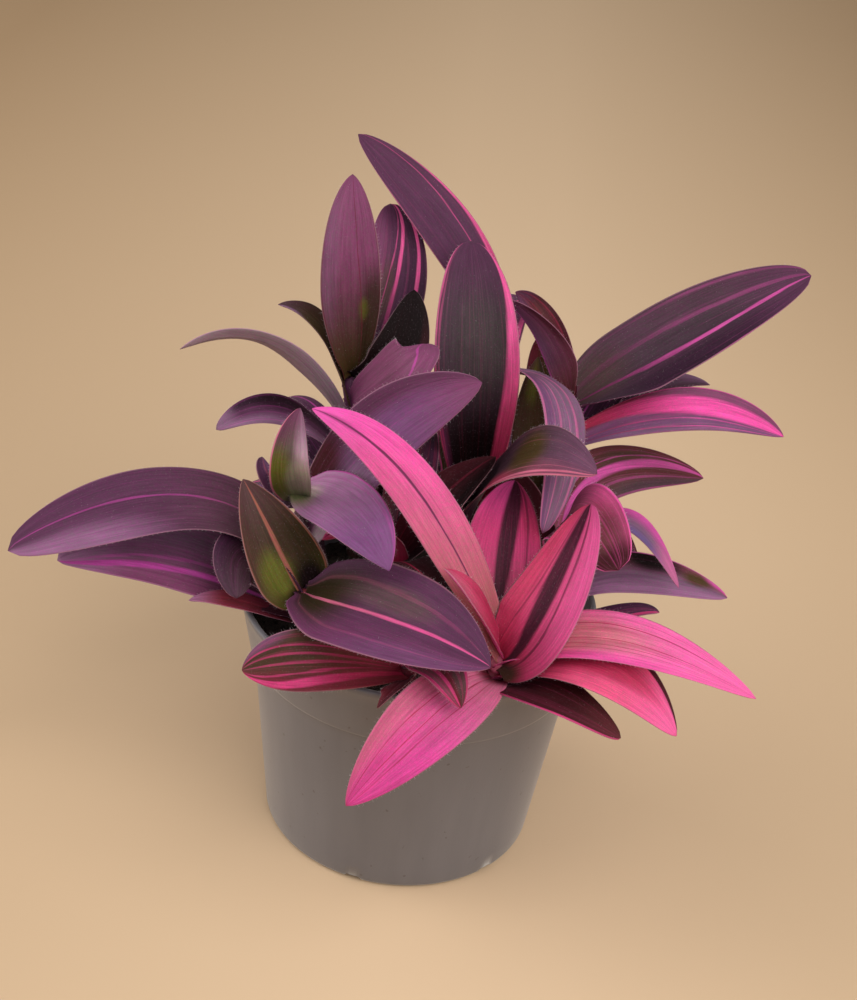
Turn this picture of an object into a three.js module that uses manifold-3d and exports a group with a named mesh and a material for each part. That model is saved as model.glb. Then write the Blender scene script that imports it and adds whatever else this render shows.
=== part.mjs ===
// Potted tradescantia: a tapered nursery pot, its soil, and rooted shoots of long striped leaves.
// Millimetres, +Z up. The origin is the centre of the pot's underside, on the surface it stands on.
// The seen side faces -Y.

import * as THREE from "three";
import { mergeVertices } from "three/addons/utils/BufferGeometryUtils.js";
import Module from "manifold-3d";

const wasm = await Module();
wasm.setup();

// Pot
const POT_HEIGHT = 90;
const RIM_RADIUS = 60;
const COLLAR_LOW_RADIUS = 55.9;
const COLLAR_HEIGHT = 21.3;
const COLLAR_STEP = 1.3;
const FOOT_RADIUS = 46.3;
const POT_WALL = 1.4;
const FLOOR_THICK = 1.8;
const UNDERSIDE_RECESS = 1.6;
const PAD_RADIUS = 14;
const FOOT_RING_INNER = 40;
const FOOT_ROUND = 2.5;
const UNDERSIDE_BEVEL = 1.5;
const LIP_HEIGHT = 0.7;
const LIP_BEVEL = 0.3;
const COLLAR_TURN = 1;
const SEGMENTS = 48;
const DRAIN_COUNT = 6;
const DRAIN_RADIUS = 3;
const DRAIN_CIRCLE = 27;
const DRAIN_FIRST_ANGLE = 15;
const DRAIN_SIDES = 12;
const NOTCH_WIDTH = 5;
const NOTCH_HEIGHT = 2.2;
const NOTCH_DEPTH = 12;

// Soil
const SOIL_TOP = 77;
const SOIL_DOME = 0.8;
const SOIL_BUMP = 0.7;
const SOIL_WAVES = { x: 0.31, y: 0.27, slowX: 0.13, slowY: 0.41, slowShare: 0.6 };
const SOIL_GAP = 0.45;
const SOIL_RINGS = 3;
const SOIL_SIDES = 36;

// Stems and leaves
const STEM_LOW_RADIUS = 2.6;
const STEM_TOP_RADIUS = 2;
const STEM_SIDES = 8;
const STEM_STEPS = 5;
const STEM_HOLE_GAP = 0.35;
const JOIN_TOLERANCE = 0.08;
const BLADE_THICK = 0.8;
const BLADE_STEP = 11;
const BLADE_FEWEST = 4;
const BLADE_MOST = 7;
const BLADE_ACROSS = 4;
const BASE_SHARE = 0.42;
const CLASP_ANGLE = 75;
const CLASP_LENGTH = 0.3;
const TIP_WIDTH = 0.3;
const LEAF_USUAL = { cup: 14, twist: 0, blunt: 0.75, widest: 0.4 };

// Each stem runs through three points. Each leaf leaves it at a share of its length, and passes
// through mid and tip. faces is the side that its upper face looks to. cup is the half angle of
// its channel in degrees, blunt the roundness of its tip, widest where it is broadest.
const SHOOTS = {
  shoot_front: {
    color: 0xd6418e,
    stem: [[20, -24, 52], [25, -34, 74], [28, -41, 97]],
    leaves: {
      longPink: {
        at: 0.97, mid: [-5, -29, 147], tip: [-40, -9, 160], width: 17,
        faces: [0.1, -0.7, 0.7], cup: 16,
      },
      darkStriped: {
        at: 0.95, mid: [39, -44, 117], tip: [51, -11, 138], width: 29,
        faces: [-0.5, -0.5, 0.7], cup: 22, blunt: 0.6,
      },
      behind: {
        at: 0.92, mid: [25, -16, 119], tip: [27, 7, 133], width: 26,
        faces: [0, -0.7, 0.8], cup: 20,
      },
      young: {
        at: 1, mid: [16, -47, 121], tip: [7, -43, 128], width: 10,
        faces: [0.4, -0.2, 0.9], cup: 50,
      },
      overRim: {
        at: 0.75, mid: [9, -79, 100], tip: [-15, -90, 70], width: 24,
        faces: [-0.1, -0.5, 0.8], cup: 12, twist: -9, widest: 0.5,
      },
      rightUpper: {
        at: 0.9, mid: [59, -47, 112], tip: [106, -59, 104], width: 22,
        faces: [0.1, -0.2, 1], twist: 8,
      },
      rightLower: {
        at: 0.74, mid: [56, -55, 107], tip: [84, -61, 88], width: 22,
        faces: [0.1, -0.2, 1], twist: 12, widest: 0.55,
      },
      maroon: {
        at: 0.68, mid: [43, -62, 99], tip: [66, -69, 91], width: 20,
        faces: [0.1, -0.1, 1], blunt: 0.6,
      },
      rightSmall: { at: 0.84, mid: [59, -28, 106], tip: [77, -25, 109], width: 12, faces: [0, 0.1, 1] },
    },
  },
  shoot_front_left: {
    color: 0x50305a,
    stem: [[-28, -8, 52], [-33, -16, 76], [-37, -26, 103]],
    leaves: {
      foldedOlive: {
        at: 0.9, mid: [-45, -23, 113], tip: [-60, -13, 134], width: 26,
        faces: [0.2, -0.8, 0.5], cup: 40,
      },
      broadFront: {
        at: 0.98, mid: [-6, -62, 120], tip: [23, -82, 121], width: 38,
        faces: [0, -0.4, 0.9], widest: 0.3,
      },
      longLeft: {
        at: 0.92, mid: [-72, -6, 119], tip: [-134, -21, 102], width: 29,
        faces: [-0.1, 0.1, 1], cup: 12, twist: -37, blunt: 0.55, widest: 0.65,
      },
      lowerLeft: {
        at: 0.72, mid: [-83, -10, 100.5], tip: [-119, -16, 97], width: 30,
        faces: [-0.1, -0.3, 0.9], cup: 12, blunt: 0.65, widest: 0.45,
      },
      roundSmall: {
        at: 0.78, mid: [-56, -18, 108.5], tip: [-58, -30.5, 100], width: 22,
        faces: [-0.3, -0.5, 0.8], cup: 12, blunt: 0.55,
      },
      slimLeft: { at: 0.64, mid: [-58, -25, 95], tip: [-74, -26, 94], width: 9, faces: [-0.1, -0.1, 1] },
    },
  },
  shoot_left: {
    color: 0x5a4a66,
    stem: [[-34, 12, 52], [-40, 12, 84], [-43, 17, 117]],
    leaves: {
      upright: {
        at: 0.9, mid: [-46, -10, 139], tip: [-45, 7, 151], width: 14,
        faces: [0.1, -0.8, 0.6], cup: 35,
      },
      sliver: {
        at: 0.9, mid: [-52, -3, 128], tip: [-56, 4, 133], width: 9,
        faces: [0.5, -0.7, 0.6], cup: 40,
      },
      archRight: {
        at: 0.98, mid: [-23, -25.2, 132.1], tip: [-10, -49, 129], width: 24,
        faces: [0.1, -0.7, 0.7], cup: 12, blunt: 0.85, widest: 0.25,
      },
      broadRight: {
        at: 0.62, mid: [-21.7, 7.3, 140.2], tip: [12, -5.5, 174], width: 27,
        faces: [-0.1, -0.6, 0.8], cup: 12, twist: 13, blunt: 0.65, widest: 0.45,
      },
    },
  },
  shoot_back_left: {
    color: 0x6e3a66,
    stem: [[-18, 34, 52], [-28, 40, 96], [-31, 44, 146]],
    leaves: {
      tall: {
        at: 1, mid: [-34.5, 39, 188], tip: [-37, 54, 214], width: 20.5,
        faces: [0.1, -0.8, 0.5], cup: 24,
      },
      tallBehind: {
        at: 0.97, mid: [-21, 59, 173], tip: [-25, 81, 194], width: 24,
        faces: [0.1, -0.7, 0.7], cup: 20, blunt: 0.55,
      },
      black: {
        at: 0.99, mid: [-17, 34, 156], tip: [-13, 46, 179], width: 20,
        faces: [-0.1, -0.8, 0.6], cup: 20, blunt: 0.65, widest: 0.55,
      },
      oliveSmall: {
        at: 0.88, mid: [-42, 45, 161], tip: [-58, 46, 168], width: 11,
        faces: [0.4, -0.2, 0.9], cup: 20,
      },
      slimArch: {
        at: 0.8, mid: [-57, 30, 161], tip: [-87, 23, 159], width: 11,
        faces: [-0.2, 0.6, 0.8], cup: 20, twist: 9,
      },
      lowArch: {
        at: 0.66, mid: [-51, 19, 142], tip: [-72, 8, 139], width: 14,
        faces: [0.1, -0.4, 0.9], blunt: 0.6,
      },
      curled: {
        at: 0.88, mid: [-14, 19, 162], tip: [-7, 27, 169], width: 23,
        faces: [-0.1, -0.6, 0.8], widest: 0.45,
      },
      rear: {
        at: 0.95, mid: [-32, 66, 168], tip: [-38, 90, 170], width: 20,
        faces: [0, -0.5, 0.8], cup: 18,
      },
      rearLow: { at: 0.55, mid: [-48, 58, 120], tip: [-61, 84, 110], width: 20, faces: [0, 0, 1] },
    },
  },
  shoot_centre: {
    color: 0x46384a,
    stem: [[8, 30, 52], [14, 34, 100], [18, 60, 150]],
    leaves: {
      tallDark: {
        at: 0.55, mid: [10, 30, 164], tip: [4, 59, 193], width: 29,
        faces: [0.1, -0.7, 0.7], cup: 12, blunt: 0.55, widest: 0.45,
      },
      topmost: {
        at: 1, mid: [1.8, 69.4, 184], tip: [-38, 83, 217], width: 20,
        faces: [0.2, -0.6, 0.8], twist: -7, blunt: 0.65, widest: 0.58,
      },
      archFront: {
        at: 0.48, mid: [27, -4, 148], tip: [51, -16, 152], width: 23,
        faces: [-0.2, -0.4, 0.9], twist: 6, blunt: 0.65, widest: 0.45,
      },
      striped: {
        at: 0.96, mid: [39, 19, 156], tip: [37, -14, 127], width: 15,
        faces: [0.4, -0.6, 0.7], cup: 10, blunt: 0.55, widest: 0.55,
      },
      rear: { at: 0.85, mid: [17, 82, 154], tip: [30, 107, 151], width: 20, faces: [0, -0.3, 1] },
    },
  },
  shoot_right_back: {
    color: 0x4a2c48,
    stem: [[28, 26, 52], [38, 30, 96], [44, 44, 146]],
    leaves: {
      longRight: {
        at: 0.97, mid: [82, 61, 168.3], tip: [119, 62, 193], width: 33,
        faces: [-0.4, -0.4, 0.8], twist: 9, blunt: 0.55, widest: 0.3,
      },
      pinkBand: {
        at: 0.84, mid: [81, 41, 148], tip: [115, 30, 148], width: 16,
        faces: [0, -0.6, 0.8], cup: 12, twist: 7, widest: 0.5,
      },
      drooping: {
        at: 1, mid: [35, 51, 164], tip: [18, 54, 176], width: 14,
        faces: [-0.8, -0.5, 0.4], cup: 16, twist: -11, blunt: 0.85, widest: 0.3,
      },
      maroonArch: {
        at: 1, mid: [34.2, 75, 156.5], tip: [21.5, 75, 169], width: 12,
        faces: [0.1, -0.6, 0.8], cup: 16, widest: 0.45,
      },
      oliveSheath: {
        at: 0.6, mid: [35.8, 56, 145], tip: [35, 59, 163.5], width: 16,
        faces: [-0.3, -0.8, 0.5], cup: 30,
      },
      greyTip: {
        at: 0.8, mid: [69, 60, 143], tip: [93, 66, 146], width: 13,
        faces: [0, -0.1, 1], cup: 12,
      },
      rear: { at: 0.8, mid: [56, 66, 144], tip: [62, 90, 134], width: 20, faces: [0, -0.3, 1] },
      leftDark: { at: 0.58, mid: [33, 44, 128], tip: [31.5, 55, 155], width: 15, faces: [-0.2, -0.7, 0.6] },
    },
  },
  shoot_right: {
    color: 0x7d4a7e,
    stem: [[38, 6, 52], [44, 2, 76], [46, -2, 100]],
    leaves: {
      hood: {
        at: 0.97, mid: [46.1, -1.3, 127.1], tip: [62, -22.5, 121.5], width: 29,
        faces: [-0.2, -0.4, 0.9], twist: -16, blunt: 0.4, widest: 0.45,
      },
      hanging: {
        at: 0.9, mid: [62, 9, 121.5], tip: [84.5, -6, 107], width: 12,
        faces: [0.2, -0.1, 1], blunt: 0.65,
      },
      foldedPurple: {
        at: 0.75, mid: [65, 10, 99], tip: [103, 5, 98], width: 16,
        faces: [0, -0.4, 0.9], cup: 30, twist: 15, blunt: 0.65, widest: 0.55,
      },
      inner: { at: 0.85, mid: [31, 14, 119], tip: [21.5, 26.5, 123.5], width: 16, faces: [-0.3, -0.5, 0.8] },
      midBand: {
        at: 0.97, mid: [52.6, 34.5, 118.8], tip: [94.5, 50, 117.5], width: 20,
        faces: [0.1, -0.8, 0.6], twist: 8, blunt: 0.65, widest: 0.5,
      },
    },
  },
  shoot_low_front: {
    color: 0xa03a78,
    stem: [[0, -36, 52], [0, -42, 74], [-1, -48, 94]],
    leaves: {
      onRim: {
        at: 0.92, mid: [-30, -58, 99], tip: [-52, -59, 93], width: 20,
        faces: [0, -0.7, 0.7], widest: 0.55,
      },
      smallHanging: {
        at: 0.97, mid: [9, -72, 111], tip: [16, -79, 103], width: 14,
        faces: [0, -0.3, 0.9], cup: 16,
      },
      smallMaroon: {
        at: 0.8, mid: [-4, -67, 99], tip: [-9, -73, 95], width: 9,
        faces: [-0.5, -0.3, 0.8], cup: 16,
      },
    },
  },
  shoot_middle: {
    color: 0x5c2540,
    stem: [[-8, 6, 52], [-9, 4, 74], [-10, 0, 98]],
    leaves: {
      crimson: { at: 0.95, mid: [-15, -6.5, 119], tip: [-33, -17, 117], width: 18, faces: [0, -0.1, 1] },
      frontDark: { at: 0.9, mid: [-1, -22, 116], tip: [9, -32, 108], width: 17, faces: [0.1, -0.2, 1] },
      rightDark: { at: 0.98, mid: [3, 2, 124], tip: [20, 16, 136], width: 21, faces: [-0.2, -0.2, 1] },
      upDark: {
        at: 0.99, mid: [-7, 18, 124], tip: [-3, 42, 132], width: 17,
        faces: [0.1, -0.7, 0.7], cup: 24,
      },
      leftDark: {
        at: 0.75, mid: [-16, -18, 103], tip: [-24, -29, 108], width: 15,
        faces: [-0.1, -0.1, 1],
      },
      backDark: { at: 0.85, mid: [-11, 22, 105], tip: [-9, 42, 98], width: 17, faces: [0, 0, 1] },
      innerDark: { at: 0.98, mid: [-14, 11, 113], tip: [-24, 17, 128], width: 16, faces: [0.2, -0.6, 0.8] },
    },
  },
  shoot_rear_left: {
    color: 0x563058,
    stem: [[-30, 28, 52], [-36, 33, 76], [-40, 37, 98]],
    leaves: {
      left: { at: 0.95, mid: [-80, 39, 93], tip: [-103, 40, 85], width: 21, faces: [0, 0, 1] },
      leftLow: { at: 0.95, mid: [-64, 58, 88], tip: [-82, 78, 66], width: 21, faces: [0, 0, 1] },
      back: { at: 0.85, mid: [-38, 76, 101], tip: [-50, 102, 74], width: 22, faces: [0, 0, 1] },
      up: { at: 1, mid: [-38, 69, 107], tip: [-52, 83, 104], width: 21, faces: [0, -0.3, 1], cup: 18 },
    },
  },
  shoot_rear: {
    color: 0x6a3462,
    stem: [[2, 44, 52], [4, 49, 78], [6, 54, 104]],
    leaves: {
      left: { at: 0.95, mid: [-8, 84, 116], tip: [-24, 114, 100], width: 22, faces: [0, 0, 1] },
      right: { at: 0.88, mid: [26, 84, 108], tip: [40, 112, 86], width: 23, faces: [0, 0, 1] },
      up: { at: 1, mid: [10, 74, 132], tip: [16, 98, 150], width: 21, faces: [0, -0.7, 0.8], cup: 20 },
      hanging: { at: 0.7, mid: [2, 84, 98], tip: [0, 108, 70], width: 22, faces: [0, 0, 1] },
    },
  },
  shoot_rear_right: {
    color: 0x7a3568,
    stem: [[28, 35, 52], [33, 38, 76], [37, 40, 98]],
    leaves: {
      right: { at: 0.9, mid: [57, 38, 104], tip: [75, 35, 91], width: 16, faces: [0, 0, 1] },
      rightBack: { at: 0.95, mid: [61, 66, 108], tip: [88, 97, 89], width: 21, faces: [0, 0, 1] },
      up: { at: 1, mid: [42, 62, 120], tip: [57, 86, 120], width: 20, faces: [0, -0.5, 0.8], cup: 18 },
      hanging: { at: 0.85, mid: [45, 72, 101], tip: [54, 97, 70], width: 21, faces: [0, 0, 1] },
    },
  },
};

const vector = (point) => new THREE.Vector3(...point);
const radians = (degrees) => THREE.MathUtils.degToRad(degrees);

function signedVolume(points, triangles) {
  let sum = 0;
  for (let k = 0; k < triangles.length; k += 3) {
    const a = new THREE.Vector3().fromArray(points, 3 * triangles[k]);
    const b = new THREE.Vector3().fromArray(points, 3 * triangles[k + 1]);
    const c = new THREE.Vector3().fromArray(points, 3 * triangles[k + 2]);
    sum += a.dot(b.cross(c)) / 6;
  }
  return sum;
}

// A closed geometry becomes a solid: shared corners are merged, empty triangles left out, and
// the faces turned outward.
function solidOf(geometry) {
  geometry.deleteAttribute("normal");
  geometry.deleteAttribute("uv");
  const merged = mergeVertices(geometry, 1e-4);
  const points = merged.getAttribute("position").array;
  const index = merged.getIndex().array;
  const kept = [];
  for (let k = 0; k < index.length; k += 3) {
    const [a, b, c] = [index[k], index[k + 1], index[k + 2]];
    if (a !== b && b !== c && c !== a) {
      kept.push(a, b, c);
    }
  }
  if (signedVolume(points, kept) < 0) {
    kept.reverse();
  }
  return new wasm.Manifold(
    new wasm.Mesh({
      numProp: 3,
      vertProperties: new Float32Array(points),
      triVerts: new Uint32Array(kept),
    }),
  );
}

// Crumbs that joining leaves behind are dropped, and its shortest edges closed up.
function wholeOf(solid) {
  const pieces = solid.simplify(JOIN_TOLERANCE).decompose();
  pieces.sort((a, b) => b.volume() - a.volume());
  return pieces[0];
}

function potMaterial() {
  return new THREE.MeshStandardMaterial({ color: 0x8c8a87, roughness: 0.6, metalness: 0 });
}

function soilMaterial() {
  return new THREE.MeshStandardMaterial({ color: 0x2b211b, roughness: 0.95, metalness: 0 });
}

function leafMaterial(color) {
  return new THREE.MeshStandardMaterial({ color, roughness: 0.55, metalness: 0 });
}

function meshOf(name, solid, material) {
  const result = solid.getMesh();
  const geometry = new THREE.BufferGeometry();
  geometry.setAttribute("position", new THREE.BufferAttribute(result.vertProperties, 3));
  geometry.setIndex(new THREE.BufferAttribute(result.triVerts, 1));
  geometry.computeVertexNormals();
  const mesh = new THREE.Mesh(geometry, material);
  mesh.name = name;
  return mesh;
}

// Rings of points, each joined to the next, with a fan over each end.
function ringsGeometry(rings) {
  const count = rings[0].length;
  const positions = [];
  const index = [];
  for (const ring of rings) {
    for (const point of ring) {
      positions.push(point.x, point.y, point.z);
    }
  }
  for (let i = 0; i + 1 < rings.length; i += 1) {
    for (let j = 0; j < count; j += 1) {
      const a = i * count + j;
      const b = i * count + ((j + 1) % count);
      index.push(a, b, b + count, a, b + count, a + count);
    }
  }
  for (const end of [0, rings.length - 1]) {
    const centre = new THREE.Vector3();
    for (const point of rings[end]) {
      centre.add(point);
    }
    centre.divideScalar(count);
    const hub = positions.length / 3;
    positions.push(centre.x, centre.y, centre.z);
    for (let j = 0; j < count; j += 1) {
      const a = end * count + j;
      const b = end * count + ((j + 1) % count);
      index.push(...(end === 0 ? [hub, b, a] : [hub, a, b]));
    }
  }
  const geometry = new THREE.BufferGeometry();
  geometry.setAttribute("position", new THREE.Float32BufferAttribute(positions, 3));
  geometry.setIndex(index);
  return geometry;
}

function latheSolid(profile) {
  const points = profile.map(([radius, height]) => new THREE.Vector2(radius, height));
  const geometry = new THREE.LatheGeometry(points, SEGMENTS);
  geometry.rotateX(Math.PI / 2);
  return solidOf(geometry);
}

// Heights and radii that the pot and the soil share.
const collarBottom = POT_HEIGHT - COLLAR_HEIGHT;
const wallTopRadius = COLLAR_LOW_RADIUS - COLLAR_STEP;
const floorTop = UNDERSIDE_RECESS + FLOOR_THICK;
const wallSlope = (wallTopRadius - FOOT_RADIUS) / collarBottom;
const collarSlope = (RIM_RADIUS - COLLAR_LOW_RADIUS) / COLLAR_HEIGHT;
const innerWall = (height) => FOOT_RADIUS + wallSlope * height - POT_WALL;
const innerCollar = (height) => COLLAR_LOW_RADIUS + collarSlope * (height - collarBottom) - POT_WALL;

function potSolid() {
  const profile = [
    [0, 0],
    [PAD_RADIUS, 0],
    [PAD_RADIUS + UNDERSIDE_BEVEL, UNDERSIDE_RECESS],
    [FOOT_RING_INNER - UNDERSIDE_BEVEL, UNDERSIDE_RECESS],
    [FOOT_RING_INNER, 0],
    [FOOT_RADIUS - FOOT_ROUND, 0],
    [FOOT_RADIUS + wallSlope * FOOT_ROUND, FOOT_ROUND],
    [wallTopRadius, collarBottom],
    [COLLAR_LOW_RADIUS, collarBottom],
    [RIM_RADIUS, POT_HEIGHT - LIP_HEIGHT],
    [RIM_RADIUS - LIP_BEVEL, POT_HEIGHT],
    [RIM_RADIUS - POT_WALL + LIP_BEVEL, POT_HEIGHT],
    [innerCollar(POT_HEIGHT - LIP_HEIGHT), POT_HEIGHT - LIP_HEIGHT],
    [innerCollar(collarBottom + COLLAR_TURN), collarBottom + COLLAR_TURN],
    [innerWall(collarBottom), collarBottom],
    [innerWall(floorTop), floorTop],
    [0, floorTop],
  ];
  let pot = latheSolid(profile);
  for (let k = 0; k < DRAIN_COUNT; k += 1) {
    const angle = radians(DRAIN_FIRST_ANGLE + (360 / DRAIN_COUNT) * k);
    const hole = new THREE.CylinderGeometry(DRAIN_RADIUS, DRAIN_RADIUS, 4 * floorTop, DRAIN_SIDES);
    hole.rotateX(Math.PI / 2);
    hole.translate(DRAIN_CIRCLE * Math.cos(angle), DRAIN_CIRCLE * Math.sin(angle), floorTop);
    const notch = new THREE.BoxGeometry(NOTCH_DEPTH, NOTCH_WIDTH, 2 * NOTCH_HEIGHT);
    notch.translate(FOOT_RADIUS - 1, 0, 0);
    notch.rotateZ(angle);
    pot = pot.subtract(solidOf(hole)).subtract(solidOf(notch));
  }
  return pot;
}

// The soil fills the pot up to a bumpy top, with a plain hole for each stem.
function soilSolid(stems) {
  const side = [
    [innerWall(floorTop) - SOIL_GAP, floorTop + SOIL_GAP],
    [innerWall(collarBottom) - SOIL_GAP, collarBottom + SOIL_GAP / 2],
    [innerCollar(collarBottom + COLLAR_TURN) - SOIL_GAP, collarBottom + COLLAR_TURN + SOIL_GAP / 2],
    [innerCollar(SOIL_TOP) - SOIL_GAP, SOIL_TOP],
  ];
  const ringAt = (radius, heightOf) => {
    const ring = [];
    for (let j = 0; j < SOIL_SIDES; j += 1) {
      const angle = (2 * Math.PI * j) / SOIL_SIDES;
      const x = radius * Math.sin(angle);
      const y = -radius * Math.cos(angle);
      ring.push(new THREE.Vector3(x, y, heightOf(x, y)));
    }
    return ring;
  };
  const edge = side[side.length - 1][0];
  const topHeight = (x, y) => {
    const inward = 1 - Math.hypot(x, y) / edge;
    const waves = SOIL_WAVES;
    const slow = waves.slowShare * Math.sin(x * waves.slowX - y * waves.slowY);
    const bump = Math.sin(x * waves.x + 1) * Math.cos(y * waves.y) + slow;
    return SOIL_TOP + SOIL_DOME * inward + SOIL_BUMP * bump * Math.min(1, 4 * inward);
  };
  const rings = side.map(([radius, height]) => ringAt(radius, () => height));
  for (let k = 1; k <= SOIL_RINGS; k += 1) {
    rings.push(ringAt(edge * (1 - k / (SOIL_RINGS + 0.5)), topHeight));
  }
  let soil = solidOf(ringsGeometry(rings));
  for (const stem of stems) {
    soil = soil.subtract(stemSolid(stem, STEM_HOLE_GAP));
  }
  return soil;
}

// The curve from start to end that passes through middle halfway.
function curveThrough([start, middle, end]) {
  const ends = vector(start).add(vector(end)).multiplyScalar(0.5);
  const control = vector(middle).multiplyScalar(2).sub(ends);
  return new THREE.QuadraticBezierCurve3(vector(start), control, vector(end));
}

// A unit vector square to the plane of a curve, or to its chord where the curve is straight.
function planeNormal(curve, aside) {
  const chord = curve.v2.clone().sub(curve.v0).normalize();
  const first = curve.v1.clone().sub(curve.v0).normalize();
  const last = curve.v2.clone().sub(curve.v1).normalize();
  const normal = first.cross(last);
  if (normal.length() < 0.05) {
    normal.crossVectors(chord, aside);
  }
  return normal.addScaledVector(chord, -normal.dot(chord)).normalize();
}

function directionAt(curve, t) {
  const start = curve.v1.clone().sub(curve.v0).multiplyScalar(1 - t);
  return start.addScaledVector(curve.v2.clone().sub(curve.v1), t).normalize();
}

function pointAt(curve, t) {
  const point = curve.v0.clone().multiplyScalar((1 - t) * (1 - t));
  point.addScaledVector(curve.v1, 2 * t * (1 - t));
  return point.addScaledVector(curve.v2, t * t);
}

// A round stem that narrows upward, or its hole where grow is above 0.
function stemSolid(stem, grow = 0) {
  const curve = curveThrough(stem);
  const normal = planeNormal(curve, new THREE.Vector3(0, 1, 0));
  const rings = [];
  for (let i = 0; i <= STEM_STEPS; i += 1) {
    const t = i / STEM_STEPS;
    const along = directionAt(curve, t);
    const across = new THREE.Vector3().crossVectors(normal, along).normalize();
    const radius = THREE.MathUtils.lerp(STEM_LOW_RADIUS, STEM_TOP_RADIUS, t) + grow;
    const ring = [];
    for (let j = 0; j < STEM_SIDES; j += 1) {
      const angle = (2 * Math.PI * j) / STEM_SIDES;
      const point = pointAt(curve, t).addScaledVector(along, i === 0 ? -grow : 0);
      point.addScaledVector(across, radius * Math.cos(angle));
      ring.push(point.addScaledVector(normal, radius * Math.sin(angle)));
    }
    rings.push(ring);
  }
  return solidOf(ringsGeometry(rings));
}

// Half width of a blade: it widens from its base to its broadest place, then narrows to the tip.
function halfWidth(leaf, t) {
  const rise = Math.sin((Math.PI / 2) * Math.min(t / leaf.widest, 1));
  const fall = Math.max(0, (t - leaf.widest) / (1 - leaf.widest));
  const share = t < leaf.widest ? BASE_SHARE + (1 - BASE_SHARE) * rise : (1 - fall * fall) ** leaf.blunt;
  return Math.max(leaf.width * share, TIP_WIDTH) / 2;
}

// A blade is a channel bent along its midrib: its cross-section is an arc, tight where it clasps
// the stem and nearly flat further out.
function bladeSolid(leaf, root) {
  const curve = curveThrough([root, leaf.mid, leaf.tip]);
  const chord = curve.v2.clone().sub(curve.v0).normalize();
  const faces = vector(leaf.faces);
  faces.addScaledVector(chord, -faces.dot(chord)).normalize();
  const normal = planeNormal(curve, faces);
  const inPlane = faces.dot(new THREE.Vector3().crossVectors(normal, chord));
  const outOfPlane = faces.dot(normal);
  const upper = [];
  const lower = [];
  const steps = THREE.MathUtils.clamp(Math.round(curve.getLength() / BLADE_STEP), BLADE_FEWEST, BLADE_MOST);
  for (let i = 0; i <= steps; i += 1) {
    const t = i / steps;
    const along = directionAt(curve, t);
    const up = new THREE.Vector3().crossVectors(normal, along).multiplyScalar(inPlane);
    up.addScaledVector(normal, outOfPlane);
    up.addScaledVector(along, -up.dot(along)).normalize();
    up.applyAxisAngle(along, radians(leaf.twist * t));
    const side = new THREE.Vector3().crossVectors(along, up);
    const clasp = Math.max(0, 1 - t / CLASP_LENGTH) ** 1.5;
    const spread = radians(THREE.MathUtils.lerp(leaf.cup, CLASP_ANGLE, clasp));
    const bend = halfWidth(leaf, t) / spread;
    for (let j = 0; j <= BLADE_ACROSS; j += 1) {
      const angle = spread * ((2 * j) / BLADE_ACROSS - 1);
      const point = pointAt(curve, t).addScaledVector(side, bend * Math.sin(angle));
      point.addScaledVector(up, bend * (1 - Math.cos(angle)));
      const out = up.clone().multiplyScalar(Math.cos(angle)).addScaledVector(side, -Math.sin(angle));
      upper.push(point.clone().addScaledVector(out, BLADE_THICK / 2));
      lower.push(point.addScaledVector(out, -BLADE_THICK / 2));
    }
  }
  return solidOf(sheetGeometry(upper, lower, steps));
}

// Two alike grids of points, joined all round their edge.
function sheetGeometry(upper, lower, steps) {
  const row = BLADE_ACROSS + 1;
  const under = upper.length;
  const positions = [...upper, ...lower].flatMap((point) => point.toArray());
  const index = [];
  const quad = (a, b, c, d) => index.push(a, b, c, a, c, d);
  for (let i = 0; i < steps; i += 1) {
    for (let j = 0; j < BLADE_ACROSS; j += 1) {
      const [a, b, c, d] = [i * row + j, i * row + j + 1, (i + 1) * row + j + 1, (i + 1) * row + j];
      const corners = j < BLADE_ACROSS / 2 ? [a, b, c, d] : [b, c, d, a];
      quad(...corners);
      quad(...corners.map((corner) => corner + under).reverse());
    }
    quad(i * row, (i + 1) * row, (i + 1) * row + under, i * row + under);
    const right = i * row + BLADE_ACROSS;
    quad(right + row, right, right + under, right + row + under);
  }
  const last = steps * row;
  for (let j = 0; j < BLADE_ACROSS; j += 1) {
    quad(j + 1, j, j + under, j + 1 + under);
    quad(last + j, last + j + 1, last + j + 1 + under, last + j + under);
  }
  const geometry = new THREE.BufferGeometry();
  geometry.setAttribute("position", new THREE.Float32BufferAttribute(positions, 3));
  geometry.setIndex(index);
  return geometry;
}

function shootSolid(shoot) {
  const curve = curveThrough(shoot.stem);
  let solid = stemSolid(shoot.stem);
  for (const leaf of Object.values(shoot.leaves)) {
    const root = pointAt(curve, leaf.at).toArray();
    solid = solid.add(bladeSolid({ ...LEAF_USUAL, ...leaf }, root));
  }
  return wholeOf(solid);
}

const plant = new THREE.Group();
const stems = Object.values(SHOOTS).map((shoot) => shoot.stem);
plant.add(meshOf("pot", potSolid(), potMaterial()));
plant.add(meshOf("soil", soilSolid(stems), soilMaterial()));
for (const [name, shoot] of Object.entries(SHOOTS)) {
  plant.add(meshOf(name, shootSolid(shoot), leafMaterial(shoot.color)));
}

export default plant;
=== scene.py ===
import math
import bpy
import numpy as np
from mathutils import Matrix, Vector


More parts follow.
